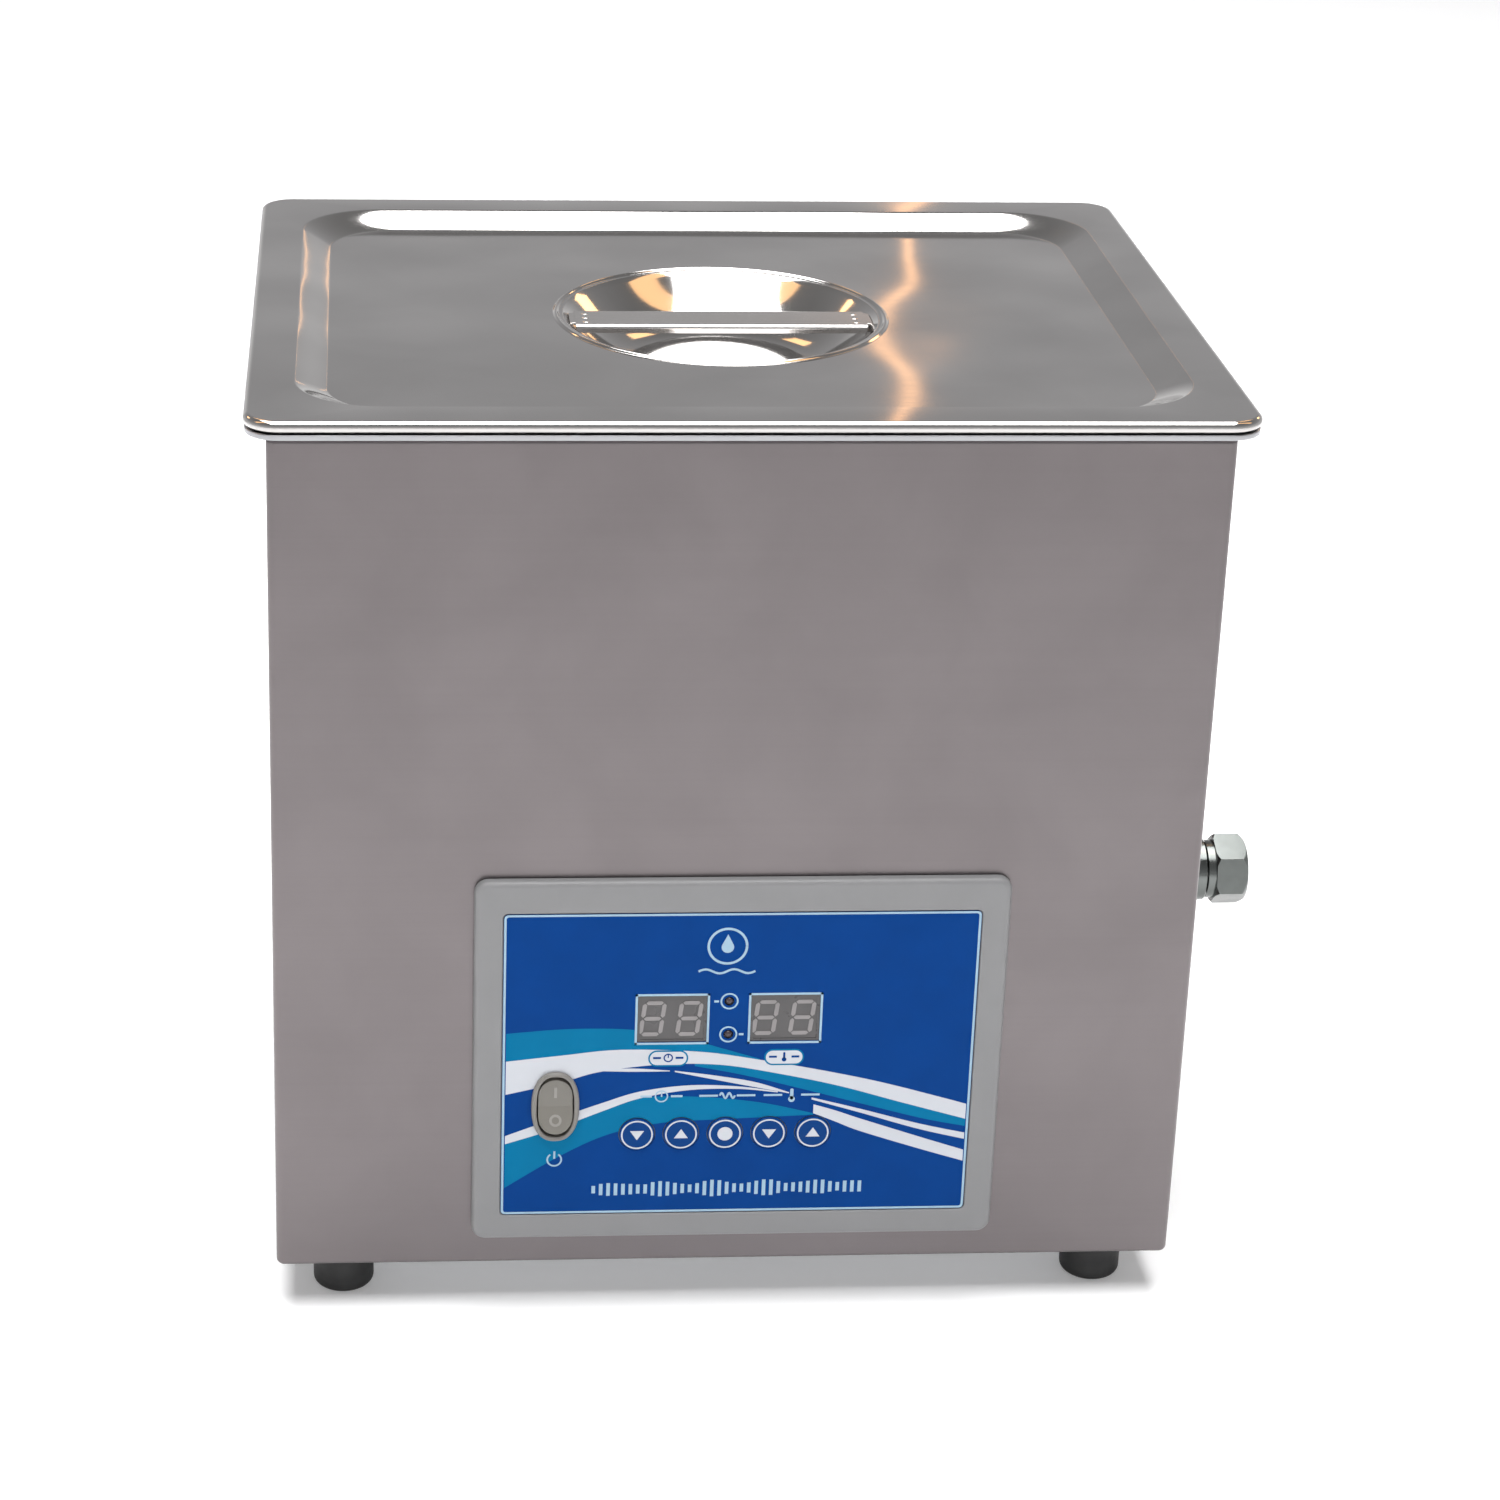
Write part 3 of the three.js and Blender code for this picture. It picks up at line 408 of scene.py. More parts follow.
def moulded(name, colour, roughness, grain=0.05, mottle=0.04, **inputs):
    """Moulded plastic with a fine spark texture."""
    finish = Finish(name, colour, roughness, 0.0, **inputs)
    finish.vary_colour(finish.noise((60, 60, 60), 4.0), mottle)
    finish.vary_roughness(finish.noise((140, 140, 140), 2.0), roughness * 0.15)
    finish.relief(finish.noise((1800, 1800, 1800), 2.0), 0.5, grain)
    return finish.material


def ink(name, colour, mottle=0.02):
    """A colour of the printed front film, which hardly shines."""
    return moulded(name, colour, 0.42, 0.03, mottle, Specular_IOR_Level=0.06)


def machined(name, colour, roughness, mottle=0.05):
    """Plated or machined metal, a little uneven."""
    finish = Finish(name, colour, roughness, 1.0)
    finish.vary_colour(finish.noise((90, 90, 90), 4.0, 0.5), mottle)
    finish.vary_roughness(finish.noise((210, 210, 210), 3.0), roughness * 0.3)
    finish.relief(finish.noise((400, 400, 400), 2.0), 0.3, 0.02)
    return finish.material


# Painted shade: this base colour, used for the case steel, is set far darker than bare steel, standing in for
# the dim reflections on the case.
WARM_STEEL_WITH_PAINTED_SHADE = (0.169, 0.1525, 0.155)
LID_STEEL = (0.50, 0.485, 0.475)

case_steel_painted_shade = sheet_metal("case_steel_painted_shade", WARM_STEEL_WITH_PAINTED_SHADE, 0.36, (5, 5, 1500), (4, 4, 4), 0.25)
lid_steel = sheet_metal("lid_steel", LID_STEEL, 0.085, (7, 1300, 1300), (12, 10, 10), 1.9)
bar_steel = sheet_metal("bar_steel", LID_STEEL, 0.24, (9, 1300, 1300), (20, 20, 20), 0.05)
tank_steel = sheet_metal("tank_steel", (0.42, 0.42, 0.435), 0.34, (7, 7, 900), (12, 12, 12), 0.2)
zinc = machined("zinc", (0.55, 0.56, 0.58), 0.36, 0.12)
nickel = machined("nickel_plate", (0.66, 0.655, 0.64), 0.14)
# Painted shade: a copy of the nickel plate above with its base colour darkened, standing in for the shade on
# the valve, its fitting and its stem.
nickel_painted_shade = machined("nickel_painted_shade", (0.15, 0.16, 0.155), 0.2)
alloy = machined("aluminium_alloy", (0.62, 0.63, 0.65), 0.42)
bezel_grey = moulded("bezel_grey", (0.222, 0.222, 0.226), 0.45, 0.01, 0.02)
switch_grey = moulded("switch_grey", (0.20, 0.19, 0.175), 0.42)
rocker_grey = moulded("rocker_grey", (0.175, 0.165, 0.145), 0.4)
mark_grey = moulded("mark_grey", (0.27, 0.26, 0.24), 0.4)
black_plastic = moulded("black_moulding", (0.018, 0.018, 0.019), 0.42)
black_rubber = moulded("foot_rubber", (0.012, 0.012, 0.012), 0.62, 0.1)
silicone = moulded("silicone_rubber", (0.055, 0.055, 0.058), 0.6)
film_blue = ink("film_blue", (0.0, 0.043, 0.215), 0.05)
film_teal = ink("film_teal", (0.0, 0.155, 0.32), 0.05)
film_white = ink("film_white", (0.57, 0.59, 0.63))
film_pale = ink("film_pale", (0.34, 0.49, 0.60))
button_blue = moulded("button_blue", (0.0, 0.040, 0.185), 0.4, 0.03, 0.05, Specular_IOR_Level=0.1)
window_grey = moulded("window_grey", (0.075, 0.071, 0.072), 0.3, 0.02)
segment_grey = moulded("segment_grey", (0.25, 0.235, 0.235), 0.4, 0.02)
led_smoke = moulded("led_smoke", (0.05, 0.035, 0.04), 0.2, 0.01, 0.04)
board_green = moulded("board_green", (0.012, 0.09, 0.032), 0.4, 0.1, 0.2)
piezo = moulded("piezo_ceramic", (0.60, 0.54, 0.40), 0.55, 0.05, 0.08)
heater_foil = moulded("heater_foil", (0.42, 0.14, 0.03), 0.45, 0.1, 0.15)
copper = machined("copper_winding", (0.55, 0.20, 0.08), 0.35)
vinyl_red = moulded("vinyl_red", (0.26, 0.012, 0.012), 0.36, 0.05)
glass = moulded("fuse_glass", (0.75, 0.77, 0.77), 0.1, 0.01, 0.02)

# ---------- case ----------


def box_ring(half_x, half_y, radius, z, corner_steps=12, side_steps=1):
    """Points round a rounded rectangle in x and y, with its straight sides also divided."""
    x, y = half_x - radius, half_y - radius
    centres = [(x, y), (-x, y), (-x, -y), (x, -y)]
    turns = [arc(*c, radius, 90 * i, 90 * i + 90, corner_steps) for i, c in enumerate(centres)]
    points = []
    for turn, following in zip(turns, turns[1:] + turns[:1]):
        start, goal = turn[-1], following[0]
        points += turn
        for i in range(1, side_steps):
            points.append(tuple(s + (g - s) * i / side_steps for s, g in zip(start, goal)))
    return [(x, y, z) for x, y in points]


def bend(radius, inset, z, up, steps=6):
    """(inset, height) pairs round a quarter bend from an upright wall to a flat top or bottom."""
    return [(inset + across, z - up * drop) for across, drop in quarter(radius, steps)]


def outer_case():
    half_x, half_y = CASE.w / 2, CASE.d / 2
    corner, fold, top_return, bottom_return = 3.0, 2.0, 10.0, 8.0

    def ring(inset, z):
        radius = max(corner - inset, 0.6)
        return box_ring(half_x - inset, half_y - inset, radius, z, 8)

    outside = [ring(*pair) for pair in bend(fold, 0, CASE.z0, -1)[::-1]]
    outside += [ring(*pair) for pair in bend(fold, 0, CASE.z1, 1)]
    inner_fold = fold - SHEET
    inside = [ring(*pair) for pair in bend(inner_fold, SHEET, CASE.z1 - SHEET, 1)[::-1]]
    inside += [ring(*pair) for pair in bend(inner_fold, SHEET, CASE.z0 + SHEET, -1)]

    def return_edge(depth, radius, z):
        return box_ring(half_x - depth, half_y - depth, radius, z, 8)

    top = [return_edge(top_return, 16, z) for z in (CASE.z1, CASE.z1 - SHEET)]
    bottom = [return_edge(bottom_return, 2, z) for z in (CASE.z0 + SHEET, CASE.z0)]
    shell = skin([*outside, *top, *inside, *bottom], loop=True)
    return cut(shell, *case_holes())


def case_holes():
    """The panel's window, the fan's duct and screws, the inlet and the drain."""
    guard, inlet, drain = Extent("fan_guard"), Extent("power_inlet"), Extent("drain_fitting")
    panel_window, duct, inlet_hole, drain_hole = (172, 126), 38, (26.6, 34.6), 10.7
    screw, screw_hole, reach = 36, 2.2, 5
    at_front = (CASE.y0 - reach, CASE.y0 + reach)
    at_rear = (CASE.y1 - reach, CASE.y1 + reach)
    holes = [
        upright([rounded(BEZEL.cx, BEZEL.cz, *panel_window, 1)], *at_front),
        rod("y", duct, *at_rear, (guard.cx, guard.cz), 72),
        upright([rounded(inlet.cx, inlet.cz, *inlet_hole, 1)], *at_rear),
        rod("x", drain_hole, CASE.x1 - reach, CASE.x1 + reach, (drain.cy, drain.cz)),
    ]
    for dx in (-screw, screw):
        for dz in (-screw, screw):
            holes.append(rod("y", screw_hole, *at_rear, (guard.cx + dx, guard.cz + dz), 24))
    return holes


piece("case_shell", outer_case(), "housing", "brushed_steel", case_steel_painted_shade, "outer_case")

# ---------- tank ----------


def tank():
    half_x, half_y, depth, radius, floor_radius = 150.0, 120.0, 150.0, 25.0, 15.0
    flange_corner, flange_edge, mouth_radius = 11.5, 0.35, 3
    floor = TANK.z1 - depth
    flange_low, flange_top = TANK.z1 - 1.9, TANK.z1

    def ring(grow, z, inset=0.0):
        corner = max(radius + grow - inset * 0.5, 4)
        return box_ring(half_x + grow - inset, half_y + grow - inset, corner, z, 10)

    def rounded_floor(bend_radius, grow, base):
        return [ring(grow, base + rise, inset) for inset, rise in quarter(bend_radius, 8)]

    def flange(inset, z):
        return box_ring(TANK.w / 2 - inset, TANK.d / 2 - inset, flange_corner - inset, z, 10)

    edge = [flange(*pair) for pair in bend(flange_edge, 0, flange_low, -1, 4)[::-1]]
    edge += [flange(*pair) for pair in bend(flange_edge, 0, flange_top, 1, 4)]
    mouth = [ring(grow, flange_top - drop) for drop, grow in quarter(mouth_radius, 6)]
    wall = rounded_floor(floor_radius + SHEET, SHEET, floor - SHEET)
    inside = rounded_floor(floor_radius, 0, floor)[::-1]
    body = skin([*wall, ring(SHEET, flange_low), *edge, *mouth, *inside])
    drain = Extent("drain_hose")
    stub = Extent("drain_fitting")
    place = (drain.x0 + 12.5, stub.cy)
    body = joined(body, rod("z", 9.5, TANK.z0, floor - 0.6, place))
    return cut(body, rod("z", 7, TANK.z0 - 1, floor + 2, place))


piece("tank_pan", tank(), "housing", "polished_steel", tank_steel, "tank")

# ---------- lid ----------

LID_STEP = 5.5
lid_panel = LID.z1 - LID_STEP
DISH_RADIUS, DISH_FLAT, DISH_DEPTH = 57.5, 29.0, 18.0
BEAD_OUT, BEAD_WIDTH, BEAD_HEIGHT = 4, 2.6, 0.8


def lid():
    half_x, half_y = LID.w / 2, LID.d / 2
    corner, gauge = 12.0, 1.0
    skirt = TANK.z1 + 0.3
    roll = (LID.z1 - skirt) / 2
    rim_x, rim_y, slope = 16.0, 17.0, 12.0
    slope_corner_top, slope_corner_foot = 30, 24

    def ring(x, y, radius, z):
        return box_ring(x, y, radius, z, corner_steps=12, side_steps=24)

    def edge(inset, z):
        return ring(half_x - inset, half_y - inset, corner - inset * 0.8, z)

    def hem(radius):
        """The rolled edge, from its lower lip round the outside to the top."""
        return [edge(roll - out, skirt + roll + up) for out, up in arc(0, 0, radius, -90, 90, 16)]

    def slope_ring(t, drop):
        """A ring of the step down to the panel, t of the way, a little eased at both ends."""
        fall = LID_STEP * (0.2 * t * t * (3 - 2 * t) + 0.8 * t)
        x, y = half_x - rim_x - slope * t, half_y - rim_y - slope * t
        radius = slope_corner_top + (slope_corner_foot - slope_corner_top) * t
        return ring(x, y, radius, LID.z1 - drop - fall)

    def slope_rings(drop):
        steps = 14
        return [slope_ring(i / steps, drop) for i in range(steps + 1)]

    directions = [math.atan2(y, x) for x, y, _ in slope_ring(1, 0)]

    def round_ring(radius, z):
        return [(radius * math.cos(a), radius * math.sin(a), z) for a in directions]

    def dish_rings(drop):
        """The bead, a narrow flat inside it, the curved wall and the floor."""
        level = lid_panel - drop
        rings = []
        bead_steps, wall_steps = 10, 18
        for i in range(bead_steps + 1):
            t = i / bead_steps
            height = BEAD_HEIGHT * math.sin(math.pi * t) ** 1.5
            rings.append(round_ring(DISH_RADIUS + BEAD_OUT - BEAD_WIDTH * t, level + height))
        rings.append(round_ring(DISH_RADIUS + 0.4, level))
        for i in range(wall_steps + 1):
            t = 1 - i / wall_steps
            radius = DISH_FLAT + (DISH_RADIUS - DISH_FLAT) * t
            rings.append(round_ring(radius, level - DISH_DEPTH * math.cos(t * math.pi / 2)))
        rings.append(round_ring(DISH_FLAT * 0.5, level - DISH_DEPTH))
        return rings

    upper = [*hem(roll), *slope_rings(0), *dish_rings(0)]
    lower = [*hem(roll - gauge), *slope_rings(gauge), *dish_rings(gauge)][::-1]
    return skin([*lower, *upper])


def lid_bar():
    """A strip with turned-down edges, its welded end tabs and the marks of the welds."""
    bar = Extent("lid_handle_bar")
    half, thick, fold = bar.d / 2, 1.2, 1.6
    reach = bar.w / 2
    flat, bend_z = half - fold, bar.z1 - fold
    outer = arc(-flat, bend_z, fold, 180, 90, 5) + arc(flat, bend_z, fold, 90, 0, 5)
    inner = arc(flat, bend_z, fold - thick, 0, 90, 3) + arc(-flat, bend_z, fold - thick, 90, 180, 3)
    left_out, right_out, right_in, left_in = [(y, bar.z0) for y in (-half, half, half - thick, thick - half)]
    section = [left_out, *outer, right_out, right_in, *inner, left_in]
    rings = []
    steps = 24
    for i in range(steps + 1):
        t = -1 + 2 * i / steps
        rings.append([(t * math.sqrt(reach ** 2 - y ** 2), y, z) for y, z in section])
    strip = skin(rings)
    welds = []
    weld = [(0, 0.35), (0.9, 0.25), (1.5, 0), (0, 0)]
    for side in (-1, 1):
        for y in (-5, 0, 5):
            welds.append(turned(weld, 20, at=(side * (reach - 4.5), y, bar.z1)))
        tab = plate([rounded(side * (reach - 1.2), 0, 5.2, 13, 1)], bar.z1 - 0.9, bar.z1 - 0.1, 0.2)
        welds.append(tab)
    return gathered(strip, *welds)


piece("lid_pan", lid(), "lid", "polished_steel", lid_steel, "lid", crease=50)
piece("lid_bar", lid_bar(), "lid", "polished_steel", bar_steel, "lid_handle_bar")

# ---------- control panel ----------

displays = {name: Extent(name) for name in ("timer_display", "temperature_display")}
leds = {name: Extent(name) for name in ("timer_led", "heater_led")}
BUTTON_NAMES = ("time_down", "time_up", "start", "heat_down", "heat_up")
buttons = {name: Extent(f"button_{name}") for name in BUTTON_NAMES}
button_radius = buttons["start"].w / 2
film_front = OVERLAY.y0
WINDOW_INSET = 1.1  # the clear window in the film is this much smaller all round than the display behind it
LED_HOLE = 1.8
PLUNGER_HOLE = 2.8
BUTTON_HOLE = button_radius + 0.3
WINDOW_GAP = 0.3
SWITCH_RIM = 1.9


def oval(cx, cz, width, height, fullness=2.35, steps=72):
    """A superellipse: 2 is an ellipse, and more is squarer."""
    points = []
    for i in range(steps):
        c, s = math.cos(2 * math.pi * i / steps), math.sin(2 * math.pi * i / steps)
        x = math.copysign(abs(c) ** (2 / fullness), c) * width / 2
        z = math.copysign(abs(s) ** (2 / fullness), s) * height / 2
        points.append((cx + x, cz + z))
    return points


def openings(grow, button_hole, y0, y1):
    """The holes through the bezel's floor and the film."""
    less = 2 * (WINDOW_INSET - grow)
    windows = [rounded(d.cx, d.cz, d.w - less, d.h - less, 0.3, 2) for d in displays.values()]
    tools = [upright([window], y0, y1) for window in windows]
    tools += [rod("y", LED_HOLE, y0, y1, (led.cx, led.cz), 24) for led in leds.values()]
    tools += [rod("y", button_hole, y0, y1, (b.cx, b.cz), 64) for b in buttons.values()]
    switch = oval(SWITCH.cx, SWITCH.cz, SWITCH.w - SWITCH_RIM, SWITCH.h - SWITCH_RIM)
    return [*tools, upright([switch], y0, y1)]


def face_ring(width, height, radius, y, cz=BEZEL.cz):
    return [(x, y, z) for x, z in rounded(BEZEL.cx, cz, width, height, radius, 10)]


def bezel():
    face, back = BEZEL.y0, CASE.y0 - 0.3
    width, height, corner = BEZEL.w, BEZEL.h, 5.0
    pocket_width, pocket_height = OVERLAY.w + 0.6, OVERLAY.h + 0.6
    edge, lip, pocket_corner = 2.2, 0.5, 2.0
    rings = [face_ring(width, height, corner, back)]
    for inset, drop in quarter(edge, 7):
        rings.append(face_ring(width - 2 * inset, height - 2 * inset, corner - inset, face + drop))
    for drop, grow in quarter(lip, 4):
        size = (pocket_width + 2 * grow, pocket_height + 2 * grow)
        rings.append(face_ring(*size, pocket_corner, face + drop, OVERLAY.cz))
    rings.append(face_ring(pocket_width, pocket_height, pocket_corner, face + 1, OVERLAY.cz))
    body = cut(skin(rings), *openings(WINDOW_GAP, PLUNGER_HOLE, face - 8, back + 4))
    board, boss_inset, boss_radius = Extent("control_board"), 5, 3.5
    bosses = []
    for x in (board.x0 + boss_inset, board.x1 - boss_inset):
        for z in (board.z0 + boss_inset, board.z1 - boss_inset):
            bosses.append(rod("y", boss_radius, back - 0.5, BEZEL.y1, (x, z), 24))
    return gathered(body, *bosses)


def film():
    outline = rounded(OVERLAY.cx, OVERLAY.cz, OVERLAY.w, OVERLAY.h, 1.7, 6)
    sheet = upright([outline], OVERLAY.y0, OVERLAY.y1, 0.1, 2)
    return cut(sheet, *openings(WINDOW_GAP, BUTTON_HOLE, OVERLAY.y0 - 5, OVERLAY.y1 + 5))


INK = 0.02
ink_back = film_front + INK


def printed(name, outlines, layer, material):
    """Ink on the film: thin raised shapes, cut back round the openings and the film's edge."""
    shapes = [upright([outline], film_front - INK * layer, ink_back) for outline in outlines]
    sheet = shapes[0] if len(shapes) == 1 else joined(shapes[0], *shapes[1:])
    area = rounded(OVERLAY.cx, OVERLAY.cz, OVERLAY.w - 2.6, OVERLAY.h - 2.6, 0.8, 4)
    sheet = kept(sheet, upright([area], film_front - 2, ink_back + 2))
    sheet = cut(sheet, *openings(WINDOW_GAP, BUTTON_HOLE, film_front - 3, ink_back + 3))
    return piece(name, sheet, "housing", "overlay_film", material)


piece("bezel", bezel(), "housing", "bezel_plastic", bezel_grey, "panel_bezel")
piece("film", film(), "housing", "overlay_film", film_blue, "panel_overlay")

LEFT, RIGHT = OVERLAY.x0 - 2, OVERLAY.x1 + 2

teal_bands = [
    swoosh(
        [(LEFT, 112.9), (-64, 114.6), (-48, 114.9), (-33.9, 114.0), (-18, 111), (-5.3, 106.8), (9, 102.2)],
        [(LEFT, 95), (-61, 96), (-40, 100), (-12, 102), (9, 101.4)],
    ),
    swoosh(
        [(LEFT, 69), (-64, 76), (-47.3, 82.3), (-33.1, 87), (-12, 87.2), (10, 84.6), (29, 80)],
        [(LEFT, 49), (-61.2, 64), (-43.5, 72.7), (-25, 76.9), (-5, 78.0), (14, 78.8), (29, 79.4)],
    ),
    swoosh(
        [(-14, 100.8), (5, 99.8), (30, 94), (52, 87.5), (70, 82), (RIGHT, 78)],
        [(-14, 99.6), (5, 95.4), (30, 88.4), (52, 82), (70, 77), (RIGHT, 73.4)],
    ),
]
white_bands = [
    swoosh(
        [(LEFT, 101.8), (-61.9, 104.3), (-40.7, 106.4), (-12.4, 105.3), (9.1, 101.8),
         (30.6, 97.5), (52.3, 92.4), (74.2, 86), (RIGHT, 82)],
        [(LEFT, 88.2), (-61.7, 93.5), (-47.6, 97.7), (-26.4, 100.3), (-5.1, 100),
         (16.4, 96.1), (38.1, 90.9), (59.9, 84.2), (RIGHT, 76)],
    ),
    swoosh(
        [(LEFT, 71), (-68.5, 77.1), (-47.3, 84.9), (-33.2, 89.6), (-15.5, 91.9), (2, 91.2), (16, 89)],
        [(LEFT, 68), (-64, 74.6), (-47.3, 81.5), (-33.1, 86.9), (-15.5, 90.0), (2, 90.2), (16, 88.6)],
    ),
    swoosh(
        [(28.2, 86.4), (45.7, 81.6), (67.6, 75.2), (RIGHT, 70.6)],
        [(28.2, 85.6), (45.7, 80.1), (67.6, 73.0), (RIGHT, 68)],
    ),
    swoosh(
        [(29, 83.6), (37, 81.0), (46, 77.6), (68, 69.8), (RIGHT, 63.2)],
        [(29, 80.0), (37, 76.6), (46, 72.6), (68, 65), (RIGHT, 58.8)],
    ),
    swoosh([(-48, 98.6), (-36, 98.9), (-22.8, 97.9)], [(-48, 98.0), (-36, 97.6), (-22.8, 97.6)]),
    swoosh(
        [(-21, 97.8), (-6, 95.6), (8, 92.8), (20, 88.6)],
        [(-21, 97.3), (-6, 93.9), (8, 90.8), (20, 88.2)],
    ),
]
printed("film_teal_bands", teal_bands, 1, film_teal)
printed("film_white_bands", white_bands, 2, film_white)


def ring_outline(cx, cz, radius, width):
    """A ring as one outline that doubles back on itself through a hair-thin slit."""
    return arc(cx, cz, radius, 0.5, 359.5, 40) + arc(cx, cz, radius - width, 359.5, 0.5, 40)


def bar_outline(x0, x1, z0, z1):
    return [(x0, z0), (x1, z0), (x1, z1), (x0, z1)]


def frame_outline(cx, cz, width, height, line):
    """A rectangular frame as four bars."""
    x0, x1, z0, z1 = cx - width / 2, cx + width / 2, cz - height / 2, cz + height / 2
    return [
        bar_outline(x0, x1, z1 - line, z1),
        bar_outline(x0, x1, z0, z0 + line),
        bar_outline(x0, x0 + line, z0, z1),
        bar_outline(x1 - line, x1, z0, z1),
    ]


def drop_outline(cx, cz, size):
    """A falling drop, point up."""
    round_part = arc(cx, cz - size * 0.25, size * 0.55, -205, 25, 20)
    return [(cx, cz + size), *round_part]


def wave_outline(cx, cz, length, height, line):
    steps = 24
    points = []
    for i in range(steps + 1):
        t = i / steps
        points.append((cx - length / 2 + length * t, cz + height / 2 * math.sin(t * 4 * math.pi)))
    return stroke(points, line)


EMBLEM = (-3.8, 146.8)
SIGN_ROW = 87.6  # the height of the signs over the buttons
POWER_SIGN = (SWITCH.cx, 62.5)
PILLS = ((-23.5, 102.8), (17.7, 102.8))


def emblem():
    """A drop in a ring, over a wavy line."""
    x, z = EMBLEM
    wave = wave_outline(x, z - 9.8, 20, 1.6, 0.8)
    return [ring_outline(x, z, 7.2, 0.9), drop_outline(x, z + 0.6, 4.0), wave]


def display_marks():
    """A frame round each display, and each lamp's ring with a dash towards its display."""
    marks = []
    for display in displays.values():
        marks += frame_outline(display.cx, display.cz, display.w, display.h, WINDOW_INSET - 0.3)
    for led, display in zip(leds.values(), displays.values()):
        marks.append(ring_outline(led.cx, led.cz, 3.2, 0.6))
        side = 1 if display.cx > led.cx else -1
        x0, x1 = sorted((led.cx + side * 3.7, led.cx + side * 5.4))
        marks.append(bar_outline(x0, x1, led.cz - 0.4, led.cz + 0.4))
    return marks


def row_of_bars():
    """Upright bars whose height swells and sinks along the foot of the panel."""
    marks = []
    bars, start, length, middle, half_width = 37, -49, 96, 50, 0.65
    for i in range(bars):
        t = i / (bars - 1)
        height = 3.0 + 3.8 * abs(math.sin(5.5 * math.pi * t)) * (0.7 + 0.3 * math.cos(9 * math.pi * t))
        x = start + length * t
        marks.append(bar_outline(x - half_width, x + half_width, middle - height / 2, middle + height / 2))
    return marks


def signs_over_buttons():
    """A clock, a zigzag and a thermometer, each between two dashes."""
    marks = []
    low, high = SIGN_ROW - 0.4, SIGN_ROW + 0.4
    for start, end in ((-33, -18), (-12, 8), (11, 31)):
        middle = (start + end) / 2
        marks += [bar_outline(start, middle - 3.4, low, high), bar_outline(middle + 3.4, end, low, high)]
    marks.append(ring_outline(-25.5, SIGN_ROW, 2.4, 0.5))
    marks.append(bar_outline(-25.7, -25.2, SIGN_ROW - 0.2, SIGN_ROW + 1.6))
    marks.append(wave_outline(-2, SIGN_ROW, 5.4, 2.2, 0.7))
    marks += [rounded(21, SIGN_ROW + 0.3, 1.2, 4.4, 0.55, 5), circle(21, SIGN_ROW - 1.7, 1.2, 20)]
    return marks


def power_sign():
    x, z = POWER_SIGN
    broken_ring = arc(x, z, 2.8, 125, 415, 30) + arc(x, z, 2.2, 415, 125, 30)
    return [broken_ring, bar_outline(x - 0.35, x + 0.35, z + 0.4, z + 3.4)]


def pill_marks():
    """Small blue signs on the two white tabs: a clock and a thermometer."""
    marks = []
    for x, z in PILLS:
        for x0, x1 in ((x - 5.4, x - 2.6), (x + 2.6, x + 5.4)):
            marks.append(bar_outline(x0, x1, z - 0.2, z + 0.6))
    (clock_x, clock_z), (heat_x, heat_z) = PILLS
    marks += [
        ring_outline(clock_x, clock_z + 0.2, 1.7, 0.5),
        bar_outline(clock_x - 0.2, clock_x + 0.2, clock_z + 0.2, clock_z + 1.5),
        rounded(heat_x, heat_z + 0.7, 0.8, 2.6, 0.35, 4),
        circle(heat_x, heat_z - 0.9, 0.85, 16),
    ]
    return marks


def separate(outlines, layer):
    return gathered(*[upright([outline], film_front - INK * layer, ink_back) for outline in outlines])


film_marks = [*emblem(), *display_marks(), *row_of_bars(), *signs_over_buttons(), *power_sign()]
piece("film_marks", separate(film_marks, 3), "housing", "overlay_film", film_pale)
pill_rims = [rounded(x, z, 14.2, 6.4, 3.1, 8) for x, z in PILLS]
pill_faces = [rounded(x, z, 13.0, 5.2, 2.5, 8) for x, z in PILLS]
piece("film_pill_rims", separate(pill_rims, 4), "housing", "overlay_film", film_teal)
piece("film_pills", separate(pill_faces, 5), "housing", "overlay_film", film_white)
piece("film_pill_marks", separate(pill_marks(), 6), "housing", "overlay_film", film_blue)
border_lines = [
    rounded(OVERLAY.cx, OVERLAY.cz, OVERLAY.w - less, OVERLAY.h - less, corner, 6)
    for less, corner in ((0.3, 1.5), (1.9, 0.9))
]
border = upright(border_lines, film_front - INK * 3, ink_back)
piece("film_border", border, "housing", "overlay_film", film_pale)


def button_cap(b):
    front, back = b.y0, film_front
    radius = b.w / 2
    edge = back - front - 0.15
    plunger = 2.5
    crown = [(radius - across, front + down) for down, across in quarter(edge, 6)]
    profile = [(0, front), *crown, (radius, back), (plunger, back), (plunger, b.y1), (0, b.y1)]
    return turned(profile, 72, "y", (b.cx, 0, b.cz))


def triangle(cx, cz, size, up):
    s = size if up else -size
    return [(cx - size, cz - 0.62 * s), (cx + size, cz - 0.62 * s), (cx, cz + 0.85 * s)]


def button_sign(name, b):
    """A disc for start, and for the others a triangle that points the way the setting changes."""
    if name == "start":
        return circle(b.cx, b.cz, 2.7, 40)
    return triangle(b.cx, b.cz, 2.5, name.endswith("up"))


for name, b in buttons.items():
    body_name = f"button_{name}"
    ink_depth = (b.y0 - INK * 2, b.y0 + 0.03)
    piece(f"cap_{name}", button_cap(b), body_name, "button_film", button_blue, body_name)
    sign = upright([button_sign(name, b)], *ink_depth)
    ring = upright([circle(b.cx, b.cz, radius, 64) for radius in (5.7, 5.15)], *ink_depth)
    piece(f"sign_{name}", sign, body_name, "button_film", film_white)
    piece(f"ring_{name}", ring, body_name, "button_film", film_white)

# ---------- displays and lamps ----------


